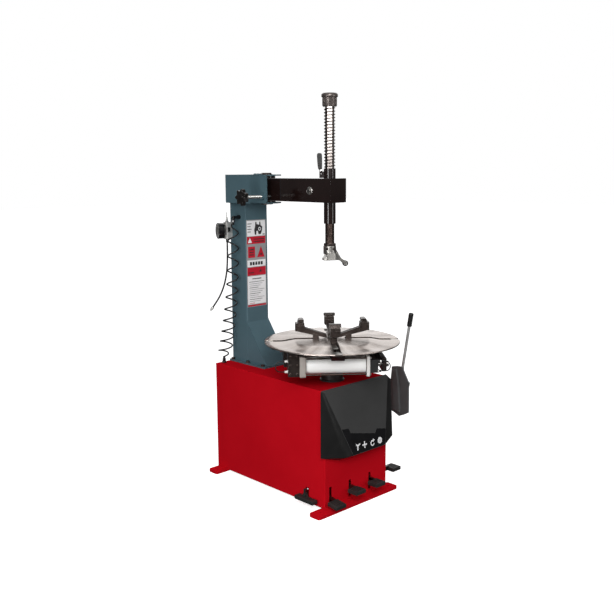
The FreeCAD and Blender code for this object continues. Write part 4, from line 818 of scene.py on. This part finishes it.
def turntable():
    """The disc with its slots, the centre screw, and the rails under the disc."""
    def centre(bm):
        at = Matrix.Translation(TABLE)
        lathe(bm, at, [(0, 0.7928), (0.0245, 0.7928), (0.0245, 0.795), (0.0225, 0.7965), (0, 0.7965)], 40)
        lathe(bm, at, [(0, 0.796), (0.015, 0.796), (0.015, 0.802), (0.013, 0.804), (0, 0.804)], 32)
        # The socket is a flat black hexagon: painted shade in place of a recess.
        prism(bm, at, ngon(0.008, 6), 0.8038, 0.8042, 1)

    plateau_half, plateau_corner, rise, blend = 0.25, 0.165, 0.01, 0.075
    rim, under, slot_half = 0.783, 0.777, 0.017
    rings = [(0.0643, 0), (0.1, 0)] + [(0.135 + 0.009 * k, 0) for k in range(20)]
    rings += [(0.3275, 0), (0.3292, 0.0007), (0.33, 0.0025)]

    def height(x, y):
        """The upper face: a rounded square plateau that blends into the rim."""
        straight = plateau_half - plateau_corner
        across, along = abs(x) - straight, abs(y) - straight
        inside = plateau_corner - math.hypot(max(across, 0), max(along, 0)) - min(max(across, along), 0)
        t = min(1, max(0, inside / blend))
        return rim + rise * t * t * (3 - 2 * t)

    def plate(bm, steps=40):
        """Four quarters between the slots, as rings of upper and lower points, joined at the hub."""
        hub = []
        for quarter in range(4):
            at = table_frame(PLACES["right"] + 90 * quarter)
            rows = []
            for radius, drop in rings:
                edge = math.asin(slot_half / radius)
                row = []
                for k in range(steps + 1):
                    a = edge + (math.pi / 2 - 2 * edge) * k / steps
                    x, y = radius * math.cos(a), radius * math.sin(a)
                    heights = (height(x, y) - drop, under)
                    row.append([bm.verts.new(at @ Vector((x, y, z))) for z in heights])
                rows.append(row)
            for inner, outer in zip(rows, rows[1:]):
                for k in range(steps):
                    for side in (0, 1):
                        bm.faces.new([v[side] for v in (inner[k], inner[k + 1], outer[k + 1], outer[k])])
                for k in (0, steps):
                    bm.faces.new((inner[k][0], outer[k][0], outer[k][1], inner[k][1]))
            for before, after in zip(rows[-1], rows[-1][1:]):
                bm.faces.new((before[0], after[0], after[1], before[1]))
            hub.append(rows[0])
        for side in (0, 1):
            bm.faces.new([v[side] for row in hub for v in row])
        for row, following in zip(hub, hub[1:] + hub[:1]):
            bm.faces.new((row[-1][0], following[0][0], following[0][1], row[-1][1]))

    build("table_disc", "turntable", "disc", ["turntable_disc"], sharp=40)(plate)
    build("table_screw", "turntable", "oxide gloss_black", rounding=0.0004)(centre)

    def rails(bm):
        """The rails slope up to the rim from where the stops begin; the floors in the slots are bright."""
        copy_node(bm, "turntable_frame")
        rails_bottom, slope_start, slope_out = 0.746, 0.29, Vector((0.665, 0, -0.747))
        floor_top, stop_top = 0.774, 0.781
        for degrees in PLACES.values():
            at = table_frame(degrees)
            upper = [face for face in bm.faces if min(v.co.z for v in face.verts) > rails_bottom - 0.006]
            edges = list(dict.fromkeys(edge for face in upper for edge in face.edges))
            verts = list(dict.fromkeys(v for face in upper for v in face.verts))
            cut = bmesh.ops.bisect_plane(bm, geom=verts + edges + upper,
                plane_co=at @ Vector((slope_start, 0, rails_bottom)), plane_no=at.to_3x3() @ slope_out,
                clear_outer=True)
            rim = [item for item in cut["geom_cut"] if isinstance(item, bmesh.types.BMEdge)]
            bmesh.ops.contextual_create(bm, geom=rim)
        for face in bm.faces:
            z = face.calc_center_median().z
            face.material_index = 1 if min(abs(z - floor_top), abs(z - stop_top)) < 0.0003 else 0

    build("table_rails", "turntable", "oxide cast", ["turntable_frame"], 0.0012)(rails)


def jaws():
    """Each jaw with its slide, the bright bar that guides it in its slot, and two small screws."""
    for name in PLACES:
        body = "jaw_" + name
        softened("slide_%s_soft" % name, "jaw_slide_" + name, body, "oxide", 0.001)
        softened("jaw_%s_soft" % name, "jaw_" + name, body, "jaw_steel", 0.0014)
        at = table_frame(PLACES[name])

        def guide(bm, at=at):
            prism(bm, at, rectangle(0.0945, 0.183, -0.011, 0.011), 0.7755, 0.7808)

        def screws(bm, at=at):
            for y in (-0.0223, 0.0223):
                socket_screw(bm, at @ Matrix.Translation((0.1408, y, 0.8728)), 0.003, 0.0018)

        build("slide_%s_guide" % name, body, "cast", rounding=0.0008)(guide)
        build("jaw_%s_screws" % name, body, "bright gloss_black")(screws)


def clamp_cylinder(place, body, degrees):
    """Caps, barrel, tie rods and valve get their own finishes, the tie rods' dark steel being painted shade;
    screws and fittings are added.
    """
    at = table_frame(degrees)
    back = at.inverted()
    cap_grey, barrel, dark, black, white_cap = range(5)
    finishes = "cap_grey silver dark_steel black_plastic white_cap"

    def choose(point):
        p = back @ point
        around = math.hypot(p.y - CYL_Y, p.z - CYL_Z)
        if p.x < -0.1425:
            return cap_grey
        if p.x < 0.1415:
            # Outside the barrel lie the tie rods; their dark steel is painted shade, for the dark lines
            # along the barrel are shade and reflection.
            return barrel if around < 0.0415 else dark
        if p.x > 0.1562:
            return black if p.y < -0.203 and abs(p.z - 0.7025) < 0.0312 and p.x > 0.1612 else dark
        return white_cap

    softened("clamp_cylinder_%s_soft" % place, "clamp_cylinder_" + place, body, finishes, 0.0011,
        2, choose)

    def trim(bm):
        for x in (-0.143, 0.139):
            lathe(bm, at @ facing((x, CYL_Y, CYL_Z), (1, 0, 0)),
                [(0.0395, 0), (0.0416, 0), (0.0416, 0.003), (0.0395, 0.003)], 64, 1, True)
        for sy in (-1, 1):
            for sz in (-1, 1):
                spot = (0.156, CYL_Y + sy * 0.0385, CYL_Z + sz * 0.0385)
                prism(bm, at @ facing(spot, (1, 0, 0)), ngon(0.0074, 6, 20), 0, 0.0062, 0)
        for x in (-0.157, 0.149):
            frame_at = at @ Matrix.Translation((x, CYL_Y, CYL_Z + 0.0501))
            lathe(bm, frame_at, [(0, 0), (0.0075, 0), (0.0075, 0.0016), (0.0062, 0.0024), (0, 0.0024)], 24,
                0)
            # The socket is a flat black hexagon: painted shade in place of a recess.
            prism(bm, frame_at, ngon(0.0034, 6), 0.0023, 0.0027, 2)

    build("cylinder_trim_" + place, body, "zinc dark_steel gloss_black")(trim)

    def plate_screws(bm):
        for x in (-0.213, -0.182):
            for z in (0.666, 0.707, 0.75):
                socket_screw(bm, at @ facing((x, CYL_Y - 0.024, z), (0, -1, 0)), 0.0052, 0.003)

    build("plate_screws_" + place, body, "dark_steel gloss_black")(plate_screws)


def fitting(bm, at, radius=0.0058, length=0.016, nut=0, collar=1):
    """A push-in hose fitting: a hexagon, a neck and a release collar."""
    prism(bm, at, ngon(radius * 1.25, 6, 15), 0, length * 0.4, nut)
    lathe(bm, at, [(0, length * 0.35), (radius, length * 0.35), (radius, length * 0.85),
        (radius * 0.85, length), (0, length)], 20, collar)


# The two loops at the front cylinder's ends, in the cylinder's own frame.
RIGHT_HOSE = [(0.204, -0.218, 0.725), (0.216, -0.218, 0.725), (0.228, -0.219, 0.725), (0.24, -0.221, 0.722),
    (0.249, -0.223, 0.713), (0.252, -0.225, 0.701), (0.249, -0.226, 0.689), (0.24, -0.225, 0.68),
    (0.228, -0.221, 0.677), (0.213, -0.217, 0.677), (0.194, -0.217, 0.677)]
LEFT_HOSE = [(-0.224, -0.186, 0.724), (-0.245, -0.186, 0.724), (-0.258, -0.187, 0.724),
    (-0.271, -0.189, 0.721), (-0.28, -0.192, 0.712), (-0.283, -0.195, 0.699), (-0.28, -0.196, 0.686),
    (-0.271, -0.193, 0.677), (-0.258, -0.189, 0.674), (-0.245, -0.186, 0.674), (-0.224, -0.186, 0.674)]


def cylinder_hoses():
    at = table_frame(PLACES["right"])
    for side, route, length in (("right", RIGHT_HOSE, 0.133), ("left", LEFT_HOSE, 0.147)):
        points = [at @ Vector(point) for point in route]
        name = "cylinder_hose_" + side
        curve = spline_curve(name + "_line", points, 0.00225)
        piece = add(name + "_line", curve, "jaw_left", "hose", [name])
        tuple(points[0])

    def fittings(bm):
        zinc, black, pale = range(3)
        for route, away, nut, collar in ((RIGHT_HOSE, 1, zinc, black), (LEFT_HOSE, -1, pale, pale)):
            for point in (route[0], route[-1]):
                start = at @ (Vector(point) - Vector((0.0005 * away, 0, 0)))
                fitting(bm, facing(start, at.to_3x3() @ Vector((away, 0, 0))), nut=nut, collar=collar)

    build("hose_fittings", "jaw_left", "zinc gloss_black white_cap")(fittings)


# ---- gauge and air fittings ----
def gauge():
    """A drum gauge on its block: bezel, printed dial, needle and lens."""
    turn = math.radians(-22)
    at = facing(Vector(GAUGE_BLOCK) - Vector((0.014, 0, 0)), (-math.cos(turn), -math.sin(turn), 0))
    case, dial, ink, brass = range(4)

    def fill(bm):
        lathe(bm, at, [(0, -0.001), (0.0075, -0.001), (0.0075, 0.0085), (0.01, 0.0095), (0.038, 0.01),
            (0.0408, 0.0118), (0.0412, 0.015), (0.0412, 0.034), (0.042, 0.035), (0.042, 0.0388),
            (0.0406, 0.0405), (0.0385, 0.0405), (0.0378, 0.0392), (0.0378, 0.0368), (0, 0.0368)], 64, case)
        lathe(bm, at, [(0, 0.0366), (0.0376, 0.0366), (0.0376, 0.0371), (0, 0.0371)], 48, dial)
        start, sweep_angle, steps = 225, 270, 32
        for k in range(steps + 1):
            tick = at @ Matrix.Rotation(math.radians(start - sweep_angle * k / steps), 4, "Z")
            inner, half = (0.0275, 0.0006) if k % 4 == 0 else (0.0305, 0.0003)
            prism(bm, tick, rectangle(inner, 0.034, -half, half), 0.0371, 0.0373, ink)
        needle = at @ Matrix.Rotation(math.radians(start), 4, "Z")
        prism(bm, needle, [(-0.008, -0.0012), (0.026, -0.0003), (0.026, 0.0003), (-0.008, 0.0012)], 0.0378,
            0.0383, ink)
        lathe(bm, at, [(0, 0.0371), (0.003, 0.0371), (0.0026, 0.039), (0, 0.039)], 20, brass)

    build("gauge_drum", "machine", "gloss_black dial print_black zinc", ["gauge"])(fill)
    build("gauge_lens", "machine", "glass")(lambda bm: lathe(bm, at, [(0, 0.0393),
        (0.0379, 0.0393), (0.0379, 0.0398), (0.026, 0.0404), (0.012, 0.0407), (0, 0.0408)], 48))


def air_details():
    """The valve block with its nuts and trigger, the coil's elbow and foot, the inlet."""
    softened("air_fittings_soft", "air_fittings", "machine", "alloy gloss_black", 0.0008,
        choose=lambda p: 0 if p.z > 1.2 and p.y > 0.38 else 1)
    x, y, z = GAUGE_BLOCK

    def fill(bm):
        top = Matrix.Translation((x, y, z + 0.0435))
        prism(bm, top, ngon(0.0092, 6), 0, 0.0075, 0)
        lathe(bm, top, [(0, 0.012), (0.0045, 0.012), (0.0045, 0.026), (0.0022, 0.027), (0.0022, 0.052),
            (0, 0.052)], 20, 0)
        bottom = facing((x, y, z - 0.0435), (0, 0, -1))
        fitting(bm, bottom, 0.0068, 0.018)
        for dz in (-0.029, 0.029):
            socket_screw(bm, facing((x - 0.0139, y, z + dz), (-1, 0, 0)), 0.0048, 0.0032)
        prism(bm, facing((x, y - 0.016, z + 0.012), (0, -1, 0)), rectangle(-0.008, 0.008, -0.02, 0.006), 0,
            0.004, 1, 0.8)
        elbow = Matrix.Translation((*COIL_TOP, 1.3375))
        prism(bm, elbow, ngon(0.01, 6, 10), 0, 0.009, 1)
        neck = [(0, 0), (0.0062, 0), (0.0062, 0.012), (0.0048, 0.016), (0, 0.016)]
        lathe(bm, facing(COIL_ROUTE[0], (0, 0, -1)), neck, 20, 1)
        prism(bm, facing((-0.1031, 0.334, 1.362), (-1, 0, 0)), ngon(0.0115, 6, 10), 0, 0.008, 1)
        foot = Matrix.Translation((*COIL_FOOT, 0.584))
        prism(bm, foot, ngon(0.0125, 6, 10), 0, 0.008, 1)
        lathe(bm, foot, [(0, 0.024), (0.0066, 0.024), (0.006, 0.036), (0, 0.036)], 20, 1)
        barbs = facing((-0.15, 0.433, 0.52), (0, 1, 0))
        prism(bm, barbs, ngon(0.0128, 6), -0.012, -0.004, 0)

    build("air_details", "machine", "zinc gloss_black")(fill)


# ---- bead breaker ----
def bead_breaker():
    """The arm, its bracket, the blade under its cover, and the handle with a ribbed grip."""
    softened("bead_arm_soft", "bead_arm", "bead_arm", "red", 0.0022)
    softened("bead_bracket_soft", "bead_arm_bracket", "machine", "red", 0.0016)
    softened("blade_cover_soft", "bead_blade_cover", "bead_blade", "blade_plastic", 0.0032,
        3)
    softened("blade_soft", "bead_blade", "bead_blade", "oxide", 0.0016)
    foot = Vector((0.433, -0.3377, 0.484))
    low, high = Vector((0.433, -0.3397, 0.58)), Vector((0.47, -0.3597, 0.854))
    lean = (high - low).normalized()
    length = (high - low).length
    grip, ribs, rib_pitch = 0.061, 9, 0.0066

    def fill(bm):
        at = facing(low, lean)
        sweep(bm, [foot, foot.lerp(low, 0.5), foot.lerp(low, 0.92), low + lean * 0.006, low + lean * 0.03,
            high - lean * 0.055], 0.0073, 20, 0)
        start = length - grip
        profile = [(0, start), (0.01, start), (0.0128, start + 0.003)]
        for k in range(ribs):
            z = start + 0.008 + rib_pitch * k
            profile += [(0.0132, z), (0.0134, z + 0.0022), (0.012, z + 0.003), (0.012, z + 0.005)]
        profile += [(0.0132, length + 0.003), (0.012, length + 0.0085), (0.0075, length + 0.0115),
            (0, length + 0.0122)]
        lathe(bm, at, profile, 36, 1)

    build("blade_handle_bar", "bead_blade", "handle_steel black_plastic", ["blade_handle"],
        sharp=50)(fill)


front_cover()
pedals()
cabinet_details()
label()
column_details()
limit_screw()
swing_arm()
spring()
shaft_cap()
mount_head()
lock_lever()
turntable()
jaws()
clamp_cylinder("front", "jaw_left", PLACES["right"])
clamp_cylinder("rear", "jaw_right", PLACES["left"])
cylinder_hoses()
gauge()
air_details()
bead_breaker()


# ---- stage, light and camera ----
def stage():
    """A floor that the camera sees as white and that throws little light back on the machine."""
    floor = bpy.data.meshes.new("floor")
    reach = 30
    floor.from_pydata([(-reach, -reach, 0), (reach, -reach, 0), (reach, reach, 0), (-reach, reach, 0)], [],
        [(0, 1, 2, 3)])
    ground = bpy.data.objects.new("floor", floor)
    bpy.context.scene.collection.objects.link(ground)
    pale = bpy.data.materials.new("pale_floor")
    pale.use_nodes = True
    tree = pale.node_tree
    shader = tree.nodes["Principled BSDF"]
    seen = node(tree, "LightPath").outputs["Is Camera Ray"]
    tree.links.new(ramp(tree, seen, [(0.0, (0.1, 0.1, 0.1)), (1.0, (0.9, 0.9, 0.9))]),
        shader.inputs["Base Color"])
    tree.links.new(spread(tree, seen, 0, 0.72, 0, 1), shader.inputs["Emission Strength"])
    shader.inputs["Roughness"].default_value = 0.9
    shader.inputs["Specular IOR Level"].default_value = 0.0
    shader.inputs["Emission Color"].default_value = (1, 1, 1, 1)
    floor.materials.append(pale)


def studio():
    """Seen as plain white; as light it is dim, with a bright patch behind, in front and overhead."""
    patches = (((0.66, 0.7, 0.27), 1.25), ((-0.5, -0.55, 0.67), 0.6), ((0.0, 0.0, 1.0), 0.3))
    edge, full, ambient = 0.55, 0.97, 0.1
    world = bpy.data.worlds.new("studio")
    bpy.context.scene.world = world
    world.use_nodes = True
    tree = world.node_tree
    plain = tree.nodes["Background"]
    plain.inputs["Color"].default_value = (1, 1, 1, 1)
    where = node(tree, "TexCoord").outputs["Generated"]
    total = None
    for direction, strength in patches:
        share = spread(tree, vector_maths(tree, "DOT_PRODUCT", where, direction), 0, strength, edge, full)
        total = share if total is None else maths(tree, "ADD", total, share)
    total = maths(tree, "ADD", total, ambient)
    soft = node(tree, "Background", {"Color": (1, 1, 1, 1), "Strength": total})
    seen = node(tree, "LightPath").outputs["Is Camera Ray"]
    mixed = node(tree, "MixShader", {0: seen, 1: soft.outputs[0], 2: plain.outputs[0]})
    tree.links.new(mixed.outputs[0], tree.nodes["World Output"].inputs["Surface"])


def lamp(name, at, aim, size, watts):
    light = bpy.data.lights.new(name, "AREA")
    light.shape, light.size, light.size_y = "RECTANGLE", size[0], size[1]
    light.energy = watts
    holder = bpy.data.objects.new(name, light)
    bpy.context.scene.collection.objects.link(holder)
    holder.location = at
    holder.rotation_euler = (Vector(aim) - Vector(at)).to_track_quat("-Z", "Y").to_euler()


def camera():
    """Eye height, to the front left of the machine, looking a little down."""
    place, lens = (-2.8204, -3.0321, 1.6086), 48.03
    yaw, pitch, roll = math.radians(43.57), math.radians(9.57), math.radians(-0.32)
    ahead = Vector((math.sin(yaw) * math.cos(pitch), math.cos(yaw) * math.cos(pitch), -math.sin(pitch)))
    right = Vector((math.cos(yaw), -math.sin(yaw), 0))
    above = right.cross(ahead)
    across = right * math.cos(roll) + above * math.sin(roll)
    upright = above * math.cos(roll) - right * math.sin(roll)
    data = bpy.data.cameras.new("camera")
    data.sensor_width, data.lens = 36, lens
    holder = bpy.data.objects.new("camera", data)
    bpy.context.scene.collection.objects.link(holder)
    pose = Matrix((across, upright, -ahead)).transposed().to_4x4()
    pose.translation = place
    holder.matrix_world = pose
    bpy.context.scene.camera = holder


stage()
studio()
lamp("left_strip", (-2.2, -0.8, 0.8), (-0.1, -0.5, 0.6), (0.25, 1.9), 20)
lamp("right_strip", (0.85, -3.2, 1.2), (0, -0.1, 0.9), (0.3, 2.2), 14)
lamp("soft_front", (-2.4, -2.9, 2.6), (0, -0.2, 0.7), (1.6, 1.6), 66)
camera()
bpy.context.scene.view_settings.view_transform = "Standard"
